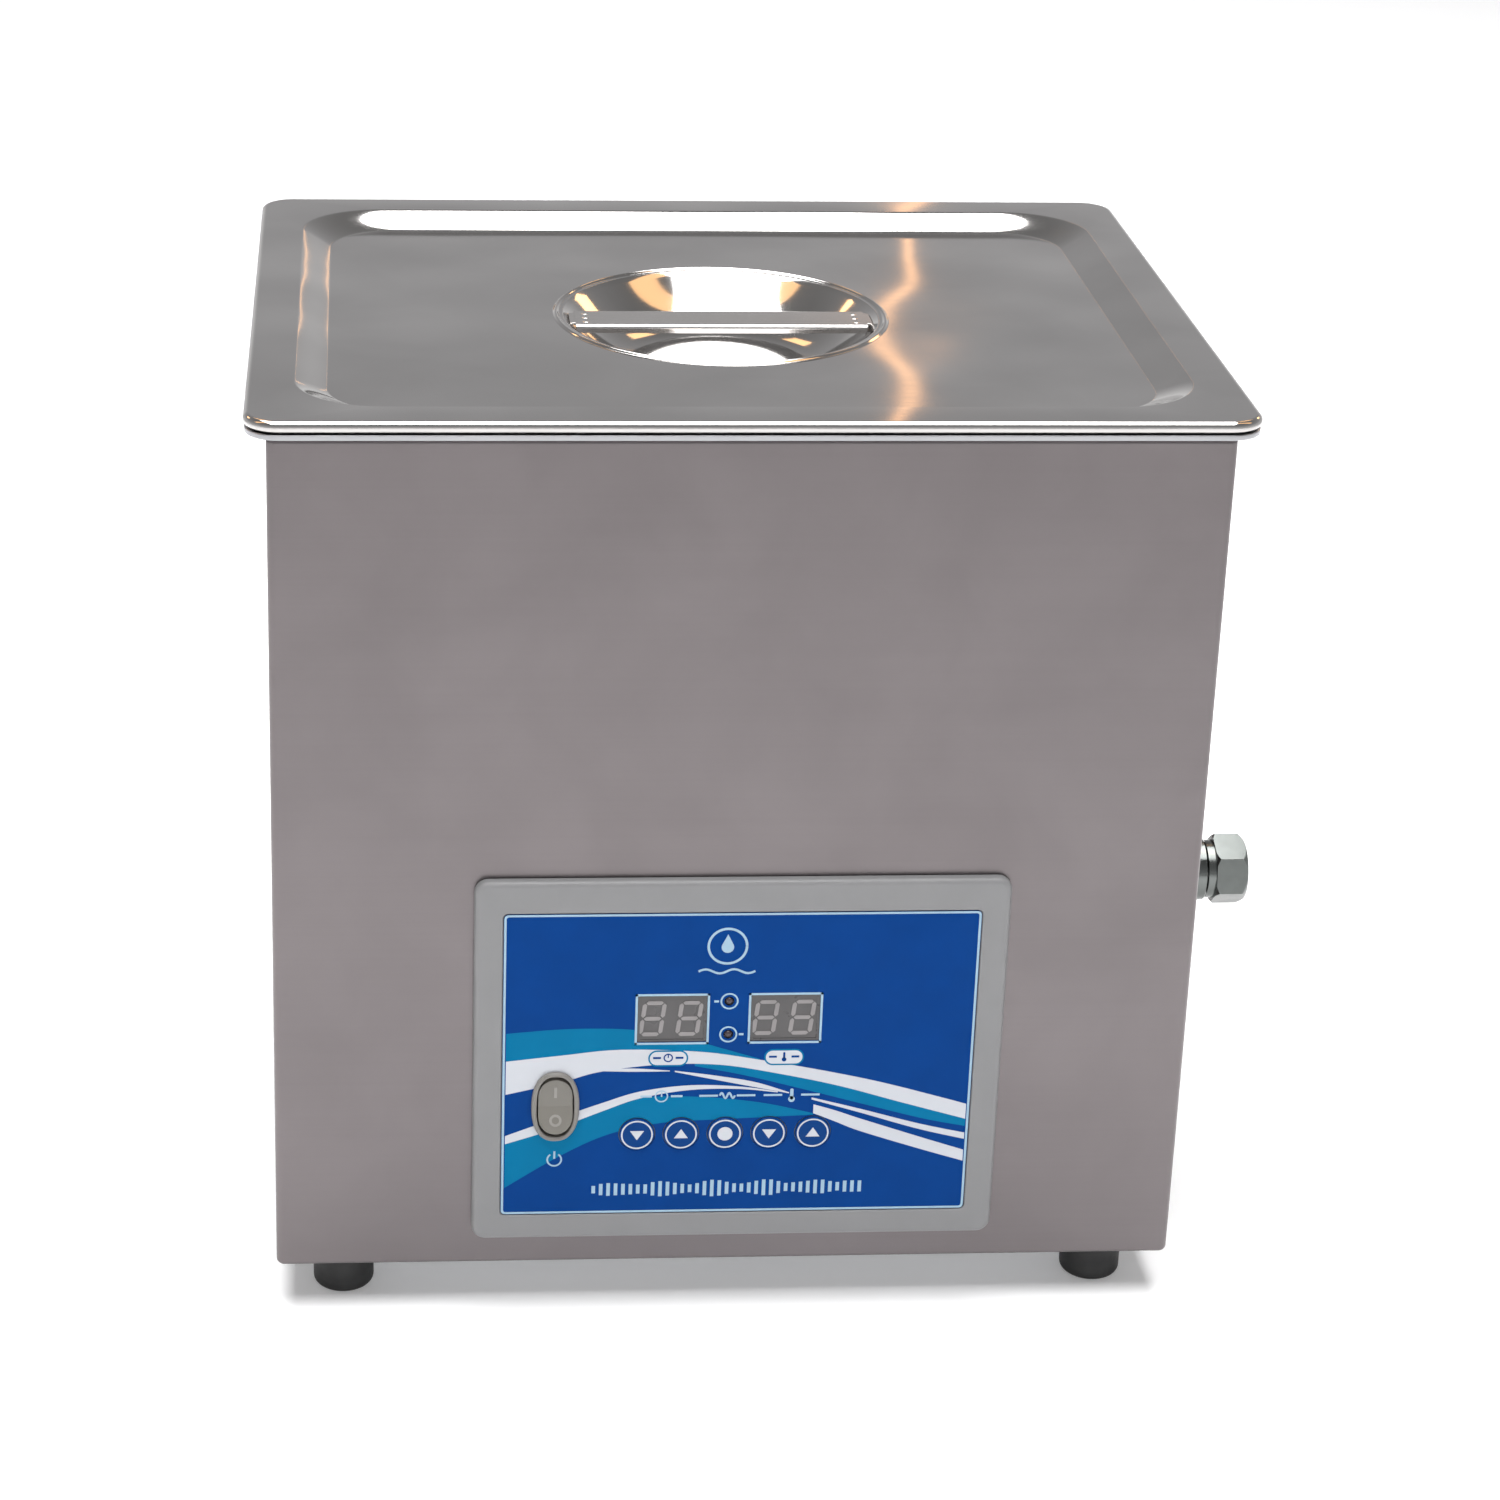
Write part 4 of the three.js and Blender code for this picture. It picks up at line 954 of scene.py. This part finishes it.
def segments(cx, cz, width, height):
    """The seven bars of one digit, leaning to the right."""
    thick, lean, gap = 1.5, 0.12, 0.35
    w, h = width / 2, height / 2
    t = thick / 2

    def across(z):
        return [(-w + t + gap, z), (-w + 2 * t + gap, z + t), (w - 2 * t - gap, z + t), (w - t - gap, z),
                (w - 2 * t - gap, z - t), (-w + 2 * t + gap, z - t)]

    def upward(x, z0, z1):
        return [(x, z0), (x + t, z0 + t), (x + t, z1 - t), (x, z1), (x - t, z1 - t), (x - t, z0 + t)]

    bars = [across(h - t), across(0), across(-h + t)]
    for x in (-w + t, w - t):
        bars.append(upward(x, gap, h - t - gap + 0.2))
        bars.append(upward(x, -h + t + gap - 0.2, -gap))
    return [[(cx + x + lean * z, cz + z) for x, z in bar] for bar in bars]


DIGIT_SIZE = (8.4, 13.8)

for name, d in displays.items():
    front, rim = OVERLAY.y1 + 0.02, 1.7
    window = upright([rounded(d.cx, d.cz, d.w, d.h, 0.5, 4)], front, d.y1, 0.2, 2)
    inside_rim = rounded(d.cx, d.cz, d.w - 2 * rim, d.h - 2 * rim, 0.4, 3)
    recess = upright([inside_rim], front - 1, front + 0.3)
    piece(f"{name}_window", cut(window, recess), "housing", "display_window", window_grey, name)
    bars = segments(d.cx - 6.9, d.cz, *DIGIT_SIZE) + segments(d.cx + 6.1, d.cz, *DIGIT_SIZE)
    digits = gathered(*[upright([bar], front + 0.1, front + 0.32) for bar in bars])
    piece(f"{name}_digits", digits, "housing", "display_window", segment_grey)

for name, led in leds.items():
    radius = led.w / 2
    dome = [(radius - across, led.y0 + down) for down, across in quarter(radius, 8)]
    lens = turned([*dome, (radius, led.y1), (0, led.y1)], 32, "y", (led.cx, 0, led.cz))
    piece(f"{name}_lens", lens, "housing", "led_lens", led_smoke, name)

# ---------- mains switch ----------

ROCKER_PIVOT = (SWITCH.cx, CASE.y0 - 1.5, SWITCH.cz)
ROCKER_WIDTH, ROCKER_REACH, ROCKER_TILT = 12.2, 11.2, 9.0
ROCKER_VALLEY = 3.2  # from the pivot to where the two faces meet


def switch_housing():
    face = SWITCH.y0

    def ring(inset, y):
        return [(x, y, z) for x, z in oval(SWITCH.cx, SWITCH.cz, SWITCH.w - 2 * inset, SWITCH.h - 2 * inset)]

    edge, thick = 1.0, 1.4
    barrel = 1.25
    rings = [ring(barrel, CASE.y0 + 18), ring(barrel, face + thick), ring(0, face + thick)]
    rings += [ring(inset, face + drop) for inset, drop in quarter(edge, 6)]

    def cavity(grow, y):
        width, height = ROCKER_WIDTH + 1.1 + grow, 2 * ROCKER_REACH + 1.5 + grow
        return [(x, y, z) for x, z in oval(SWITCH.cx, SWITCH.cz + 0.25, width, height, 2.6)]

    rings += [cavity(2 * grow, face + drop) for drop, grow in quarter(0.4, 4)]
    rings.append(cavity(0, ROCKER_PIVOT[1] + 8))
    body = skin(rings)
    blades = []
    for dz in (-7, 0, 7):
        x, z = SWITCH.cx, SWITCH.cz + dz
        blades.append(block(x - 2.4, x + 2.4, CASE.y0 + 17.9, CASE.y0 + 26, z - 0.4, z + 0.4, 0.1))
    return gathered(body, *blades)


def rocker_frame():
    """The rocker's place and its tilt at rest, with its top half pressed in."""
    return Matrix.Translation(ROCKER_PIVOT) @ Matrix.Rotation(math.radians(-ROCKER_TILT), 4, "X")


def rocker():
    """A rounded barrel about the pivot, with two faces that meet in a shallow valley."""
    half = ROCKER_WIDTH / 2
    straight = ROCKER_REACH - half
    barrel = turned([(0, -half), *arc(straight, 0, half, -90, 90, 18), (0, half)], 96, "x")
    reach = 20
    crest = -ROCKER_VALLEY - reach * math.tan(math.radians(ROCKER_TILT))
    section = [(5, -reach), (5, reach), (crest, reach), (-ROCKER_VALLEY, 0), (crest, -reach)]
    ring = [[(x, y, z) for y, z in section] for x in (-half - 1, half + 1)]
    body = kept(barrel, skin(ring))
    body.data.transform(rocker_frame())
    return body


def rocker_marks():
    """The bar and the ring that every mains switch has, raised on its two faces."""
    parts = []
    for sign, outlines in (
        (1, [[(-0.5, 3.2), (0.5, 3.2), (0.5, 7.4), (-0.5, 7.4)]]),
        (-1, [circle(0, -5.3, 2.2, 32), circle(0, -5.3, 1.3, 32)]),
    ):
        mark = upright(outlines, -0.12, 0.1)
        lean = Matrix.Rotation(math.radians(sign * ROCKER_TILT), 4, "X")
        mark.data.transform(rocker_frame() @ Matrix.Translation((0, -ROCKER_VALLEY, 0)) @ lean)
        parts.append(mark)
    return gathered(*parts)


piece("switch_frame", switch_housing(), "housing", "switch_plastic", switch_grey, "switch_housing")
piece("rocker", rocker(), "switch_rocker", "switch_plastic", rocker_grey, "switch_rocker", bevel=0.35)
piece("rocker_marks", rocker_marks(), "switch_rocker", "switch_plastic", mark_grey)

# ---------- feet ----------


def foot(f):
    radius = f.w / 2
    rim = arc(radius - 2.6, f.z0 + 2.6, 2.6, -90, 0, 6)
    top = arc(radius - 0.6, f.z1 - 0.6, 0.6, 0, 90, 3)
    profile = [(2.2, 9), (5.5, 9), (5.5, f.z0 + 0.5), (6, f.z0), *rim, *top, (2.2, f.z1)]
    return turned(profile, 56, at=(f.cx, f.cy, 0), loop=True)


for i in range(1, 5):
    piece(f"rubber_foot_{i}", foot(Extent(f"foot_{i}")), "housing", "black_rubber", black_rubber, f"foot_{i}")

# ---------- drain valve ----------

VALVE = Extent("valve_body")
valve_y, valve_z = Extent("valve_ball").cy, Extent("valve_ball").cz
ball_x = Extent("valve_ball").cx
HEX_ACROSS, HEX_LENGTH, HEX_TURN = 24.0, 12.0, 20.0
BORE = 5.2  # the radius of the way through the fitting and the valve


def valve_body():
    end, start = VALVE.x1, VALVE.x0
    hex_radius = HEX_ACROSS / math.sqrt(3)
    corners = [math.radians(60 * i + HEX_TURN) for i in range(6)]

    def hexagon(x):
        return [(x, valve_y + hex_radius * math.cos(a), valve_z + hex_radius * math.sin(a)) for a in corners]

    hex_start, axis = end - HEX_LENGTH, (0, valve_y, valve_z)
    chamfers = [
        (0, hex_start - 2), (hex_radius - 1.2, hex_start - 0.01), (hex_radius + 0.3, hex_start + 1.4),
        (hex_radius + 0.3, end - 2.4), (hex_radius - 2.0, end), (0, end + 1),
    ]
    nut = kept(skin([hexagon(hex_start), hexagon(end)]), turned(chamfers, 96, "x", axis))
    barrel_profile = [
        (0, start), (11.4, start), (12, start + 0.6), (12, hex_start - 4),
        (11.2, hex_start - 3), (11.2, hex_start + 0.5), (0, hex_start + 0.5),
    ]
    barrel = turned(barrel_profile, 72, "x", axis)
    neck = turned([(0, valve_z), (6.5, valve_z), (6.5, VALVE.z1 - 0.5), (6, VALVE.z1), (0, VALVE.z1)], 48,
                  at=(ball_x, valve_y, 0))
    body = joined(barrel, nut, neck)
    mouth = 9.0
    lead_in = turned(
        [(0, end - 15), (mouth, end - 15), (mouth, end - 1.2), (mouth + 1.4, end + 0.2), (0, end + 0.2)],
        64, "x", axis,
    )
    ball_seat = 8
    sphere = turned(arc(0, 0, ball_seat, -90, 90, 16), 40, at=(ball_x, valve_y, valve_z))
    return cut(
        body,
        rod("x", 8.1, start - 1, ball_x, (valve_y, valve_z)),
        sphere,
        rod("x", BORE, ball_x, end - 14, (valve_y, valve_z)),
        lead_in,
        rod("z", 3.1, valve_z, VALVE.z1 + 4, (ball_x, valve_y), 32),
    )


def valve_threads():
    """Turned rings inside the outlet's mouth."""
    rings = []
    for i in range(8):
        x = VALVE.x1 - 13.5 + 1.4 * i
        loop = [(x, y, z) for y, z in circle(valve_y, valve_z, 8.9, 60)]
        rings.append(wire(loop, 0.4, closed=True, sides=2))
    return gathered(*rings)


def drain_fitting():
    fitting = Extent("drain_fitting")
    wall = CASE.x1
    profile = [
        (BORE, fitting.x0), (9.5, fitting.x0), (9.5, wall - 7.9), (10.3, wall - 7.9), (10.3, wall + 0.3),
        (12.4, wall + 0.3), (13, wall + 0.9), (13, wall + 2.9), (12.4, wall + 3.5), (7.8, wall + 3.5),
        (7.8, fitting.x1), (BORE, fitting.x1),
    ]
    return turned(profile, 72, "x", (0, fitting.cy, fitting.cz), loop=True)


LEVER = Extent("valve_lever")


def lever_path():
    """The lever's side view as (distance from the stem, height)."""
    low = LEVER.z0
    return [(0, low + 0.9), (13.5, low + 0.9), (20.5, low + 7.9), (51, low + 7.9)]


def lever_steel():
    path = lever_path()
    strip = stroke(path, 1.8)
    sheet = upright([strip], -3.6, 3.6, 0.25, 2)
    sheet.data.transform(Matrix.Translation((ball_x, valve_y, 0)) @ Matrix.Rotation(math.pi / 2, 4, "Z"))
    hub = turned([(2.8, LEVER.z0), (7, LEVER.z0), (7, LEVER.z0 + 1.8), (2.8, LEVER.z0 + 1.8)], 48,
                 at=(ball_x, valve_y, 0), loop=True)
    hole = rod("z", 2.9, LEVER.z0 - 1, LEVER.z0 + 3, (ball_x, valve_y), 32)
    return joined(cut(sheet, hole), hub)


def lever_sleeve():
    """The dipped vinyl grip."""
    start, end = 22.0, LEVER.y1 - valve_y
    height, half = LEVER.z1 - LEVER.z0 - 7, LEVER.w / 2
    middle = LEVER.z0 + 7 + height / 2
    rings = []
    steps = 14
    for i in range(steps + 1):
        t = i / steps
        y = start + (end - start) * t
        pinch = math.sqrt(max(1 - ((t - 0.5) * 2) ** 8, 0.04))
        swell = 1 + 0.04 * math.sin(2 * math.pi * t)
        w, h = 2 * half * pinch * swell * 0.96, height * (0.5 + 0.5 * pinch)
        section = rounded(ball_x, middle, w, h, min(h, w) * 0.42, 5)
        rings.append([(x, valve_y + y, z) for x, z in section])
    return skin(rings)


def stem():
    s = Extent("valve_stem")
    shaft, thread, shoulder = 2.8, 2.2, s.z0 + 9
    profile = [
        (0, s.z0), (shaft, s.z0), (shaft, shoulder), (thread, shoulder + 0.2),
        (thread, s.z1 - 0.5), (thread - 0.5, s.z1), (0, s.z1),
    ]
    return turned(profile, 40, at=(s.cx, s.cy, 0))


def lever_nut():
    n = Extent("valve_lever_nut")
    radius = 8 / math.sqrt(3)
    body = plate([circle(n.cx, n.cy, radius, 6), circle(n.cx, n.cy, 2.5, 32)], n.z0, n.z1)
    low, wide = n.z0 - 1, radius + 1
    crown = [(0, low), (wide, low), (wide, n.z1 - 0.9), (radius - 0.8, n.z1), (0, n.z1)]
    return kept(body, turned(crown, 48, at=(n.cx, n.cy, 0)))


# The valve body, its threads, the bulkhead fitting and the stem take the nickel copy with painted shade.
piece("outlet", valve_body(), "housing", "nickel", nickel_painted_shade, "valve_body")
piece("outlet_threads", valve_threads(), "housing", "nickel", nickel_painted_shade)
piece("bulkhead_fitting", drain_fitting(), "housing", "nickel", nickel_painted_shade, "drain_fitting")
piece("lever_strip", lever_steel(), "valve_handle", "zinc_steel", zinc, "valve_lever")
piece("lever_grip", lever_sleeve(), "valve_handle", "lever_vinyl", vinyl_red)
piece("stem", stem(), "valve_handle", "nickel", nickel_painted_shade, "valve_stem")
piece("lever_nut", lever_nut(), "valve_handle", "zinc_steel", zinc, "valve_lever_nut")

# ---------- fan ----------

GUARD = Extent("fan_guard")
ROTOR = Extent("fan_rotor")
FAN_X, FAN_Z = GUARD.cx, GUARD.cz
BLADES, BLADE_ROOT, BLADE_TIP = 7, 17.5, 36.4


def fan_guard():
    y = GUARD.y0 + 0.9
    parts = []
    for radius in (8, 15, 22, 29, 36.5):
        loop = [(x, y + 0.7, z) for x, z in circle(FAN_X, FAN_Z, radius, 72)]
        parts.append(wire(loop, 0.75, closed=True))
    screw_reach = 50.9
    screw_head = [(0, y + 2.0), (1.6, y + 1.9), (3.2, y + 1.3), (3.9, y + 0.3), (3.9, y - 0.6), (0, y - 0.6)]
    for angle in (45, 135, 225, 315):
        c, s = math.cos(math.radians(angle)), math.sin(math.radians(angle))
        screw_x, screw_z = FAN_X + screw_reach * c, FAN_Z + screw_reach * s
        spoke = [(FAN_X + r * c, y, FAN_Z + r * s) for r in (6, 48)]
        parts.append(wire(spoke, 0.85))
        eye = [(x, y, z) for x, z in circle(screw_x, screw_z, 3.0, 32)]
        parts.append(wire(eye, 0.8, closed=True))
        parts.append(turned(screw_head, 32, "y", (screw_x, 0, screw_z)))
    return gathered(*parts)


def fan_blade(index, near, far):
    """One twisted blade from the hub to the tip."""
    rings = []
    steps = 8
    middle, half = (near + far) / 2, (far - near) / 2 - 0.6
    for i in range(steps + 1):
        t = i / steps
        radius = BLADE_ROOT + (BLADE_TIP - BLADE_ROOT) * t
        twist = math.radians(44 - 16 * t)
        sweep = math.radians(14 * t * t)
        chord = half / math.cos(twist)
        ring = []
        for u, v in [(-1, 0), (-0.5, 0.9), (0.2, 1.0), (1, 0.15), (1, -0.15), (0.2, -0.7), (-0.5, -0.5)]:
            along, across = u * chord * 0.95, v * 0.85
            y = middle + along * math.cos(twist) - across * math.sin(twist)
            swing = (along * math.sin(twist) + across * math.cos(twist)) / radius
            angle = 2 * math.pi * index / BLADES + sweep + swing
            ring.append((FAN_X + radius * math.cos(angle), y, FAN_Z + radius * math.sin(angle)))
        rings.append(ring)
    return skin(rings)


def fan_rotor():
    near, far = ROTOR.y0, ROTOR.y1
    hub_profile = [(0, near), (17.5, near), (18.5, near + 1), (18.5, far - 1.6), (17.2, far), (0, far)]
    hub = turned(hub_profile, 64, "y", (FAN_X, 0, FAN_Z))
    boss = rod("y", 9, far - 0.5, far - 0.05, (FAN_X, FAN_Z))
    return gathered(hub, boss, *[fan_blade(i, near, far) for i in range(BLADES)])


piece("finger_guard", fan_guard(), "housing", "nickel", nickel, "fan_guard")
piece("impeller", fan_rotor(), "fan_rotor", "black_plastic", black_plastic, "fan_rotor")

# ---------- mains inlet ----------

INLET = Extent("power_inlet")
DRAWER = Extent("fuse_drawer")


def power_inlet():
    x, z = INLET.cx, INLET.cz
    face = INLET.y1
    flange = upright([rounded(x, z, INLET.w, INLET.h, 3, 6)], CASE.y1 + 0.3, face, 0.6, 3)
    barrel = upright([rounded(x, z, 26, 34, 1.5, 4)], CASE.y1 - 24, CASE.y1 + 1)
    half, low, high, corner = 12.2, z - 0.7, z + 15.7, 4.5
    outline = [
        (x - half, low), (x + half, low), (x + half, high - corner),
        (x + half - corner, high), (x - half + corner, high), (x - half, high - corner),
    ]
    socket = upright([outline], face - 17, face + 2)
    slot_outline = rounded(DRAWER.cx, DRAWER.cz, DRAWER.w + 0.6, DRAWER.h + 0.6, 0.5, 3)
    slot = upright([slot_outline], face - 21.8, face + 2)
    return cut(joined(flange, barrel), socket, slot)


def inlet_blades():
    """The three contact blades and the solder tabs behind."""
    x, z = INLET.cx, INLET.cz
    face = INLET.y1
    parts = []
    for dx, dz in ((-7, 4.5), (7, 4.5), (0, 8.5)):
        parts.append(upright([rounded(x + dx, z + dz, 2, 4, 0.5, 3)], face - 17.2, face - 3, 0.3, 2))
    for dx in (-8, 0, 8):
        parts.append(upright([rounded(x + dx, z + 6, 4.8, 0.8, 0.2, 2)], INLET.y0, CASE.y1 - 23.5))
    return gathered(*parts)


def fuse_drawer():
    body = upright([rounded(DRAWER.cx, DRAWER.cz, DRAWER.w, DRAWER.h, 0.6, 3)], DRAWER.y0, DRAWER.y1, 0.25, 2)
    fuse = Extent("fuse")
    side, low, high = 0.6, fuse.z0 - 0.3, DRAWER.z1 + 1
    pocket = block(fuse.x0 - side, fuse.x1 + side, DRAWER.y0 + 0.8, DRAWER.y1 - 1.4, low, high)
    notch = upright([rounded(DRAWER.cx, DRAWER.z0 + 0.6, 6, 1.6, 0.4, 3)], DRAWER.y1 - 0.8, DRAWER.y1 + 1)
    return cut(body, pocket, notch)


piece("inlet_shell", power_inlet(), "housing", "black_plastic", black_plastic, "power_inlet")
piece("inlet_blades", inlet_blades(), "housing", "nickel", nickel)
piece("drawer", fuse_drawer(), "fuse_drawer", "black_plastic", black_plastic, "fuse_drawer")

# ---------- pieces kept from the CAD model ----------

KEPT = {
    zinc: ["base_plate", *[f"foot_screw_{i}" for i in range(1, 5)],
           *[f"transducer_back_mass_{i}" for i in range(1, 5)]],
    silicone: ["tank_gasket", "drain_hose"],
    board_green: ["control_board", "generator_board"],
    copper: ["output_transformer", "temperature_probe"],
    alloy: ["heatsink", *[f"transducer_front_mass_{i}" for i in range(1, 5)]],
    heater_foil: ["heater_front", "heater_rear"],
    piezo: [f"transducer_piezo_stack_{i}" for i in range(1, 5)],
    black_plastic: ["fan_frame"],
    nickel: ["drain_locknut", "valve_ball"],
    glass: ["fuse"],
}
for material, names in KEPT.items():
    for name in names:
        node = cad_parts[name]
        node.data.materials.clear()
        node.data.materials.append(material)

# ---------- stage, light and camera ----------


def stage_floor():
    finish = Finish("studio_floor", (0.86, 0.86, 0.865), 0.7)
    finish.vary_colour(finish.noise((1.5, 1.5, 1.5), 2.0), 0.01)
    finish.shader.inputs["Emission Color"].default_value = (1, 1, 1, 1)
    finish.shader.inputs["Emission Strength"].default_value = 0.2
    floor = solid([(-30, -30, 0), (30, -30, 0), (30, 30, 0), (-30, 30, 0)], [(0, 1, 2, 3)])
    floor.name = "studio_floor"
    floor.data.materials.append(finish.material)


def area_light(name, place, target, size, power, colour=(1, 1, 1), lights_surfaces=True):
    light = bpy.data.lights.new(name, "AREA")
    light.shape = "RECTANGLE"
    light.size, light.size_y = size
    light.energy = power
    light.color = colour
    holder = bpy.data.objects.new(name, light)
    holder.location = place
    holder.visible_diffuse = lights_surfaces
    holder.rotation_euler = (Vector(target) - Vector(place)).to_track_quat("-Z", "Y").to_euler()
    bpy.context.scene.collection.objects.link(holder)


def world_light():
    """A neutral sky that is brightest near the horizon."""
    world = bpy.data.worlds.new("studio")
    world.use_nodes = True
    nodes, links = world.node_tree.nodes, world.node_tree.links
    background = nodes["Background"]
    place = nodes.new("ShaderNodeTexCoord").outputs["Generated"]
    split = nodes.new("ShaderNodeSeparateXYZ")
    ramp = nodes.new("ShaderNodeValToRGB")
    ramp.color_ramp.elements[0].position = 0.0
    ramp.color_ramp.elements[0].color = (1, 1, 1, 1)
    ramp.color_ramp.elements[1].position = 0.75
    ramp.color_ramp.elements[1].color = (0.3, 0.3, 0.3, 1)
    middle = ramp.color_ramp.elements.new(0.3)
    middle.color = (0.52, 0.52, 0.53, 1)
    links.new(place, split.inputs["Vector"])
    links.new(split.outputs["Z"], ramp.inputs["Fac"])
    links.new(ramp.outputs["Color"], background.inputs["Color"])
    background.inputs["Strength"].default_value = 0.85
    bpy.context.scene.world = world


WARM = (1.0, 0.55, 0.22)
lid_centre = (MIDDLE, 0, LID.z1 * MM)

stage_floor()
world_light()
area_light("key_overhead", (-0.1, 0.0, 2.3), (-0.1, 0.0, 0), (1.7, 2.6), 122)
area_light("warm_overhead_left", (-1.3, 0.0, 2.25), (-0.1, 0.0, 0.34), (0.45, 1.7), 5, WARM, False)
area_light("warm_overhead_right", (1.12, 0.0, 2.25), (-0.1, 0.0, 0.34), (0.45, 1.7), 5, WARM, False)
area_light("warm_left", (-1.5, 1.5, 1.5), lid_centre, (0.45, 0.3), 2.2, WARM, False)
area_light("warm_right", (1.5, 1.6, 1.3), lid_centre, (0.45, 0.3), 2.2, WARM, False)
area_light("warm_corner_left", (1.05, 1.8, 2.1), (-0.15, 0.11, 0.34), (0.35, 0.5), 1.5, WARM, False)
area_light("warm_corner_right", (-0.6, 2.1, 2.1), (0.12, 0.11, 0.34), (0.35, 0.5), 1.5, WARM, False)
area_light("warm_streak", (1.0, 6.0, 2.05), lid_centre, (0.035, 1.7), 0.4, (1.0, 0.5, 0.2), False)

CAMERA_PLACE = (-0.14884, -1.25711, 0.71309)
CAMERA_YAW, CAMERA_PITCH, CAMERA_ROLL = 4.2006, 21.380, 1.3517

camera_data = bpy.data.cameras.new("camera")
camera_data.lens = 86.283
camera_data.sensor_width = 36
camera_data.shift_x, camera_data.shift_y = 0.0933, -0.0933
camera = bpy.data.objects.new("camera", camera_data)
camera.matrix_world = (
    Matrix.Translation(CAMERA_PLACE)
    @ Matrix.Rotation(math.radians(-CAMERA_YAW), 4, "Z")
    @ Matrix.Rotation(math.radians(90 - CAMERA_PITCH), 4, "X")
    @ Matrix.Rotation(math.radians(CAMERA_ROLL), 4, "Z")
)
bpy.context.scene.collection.objects.link(camera)
bpy.context.scene.camera = camera
bpy.context.scene.view_settings.view_transform = "Standard"
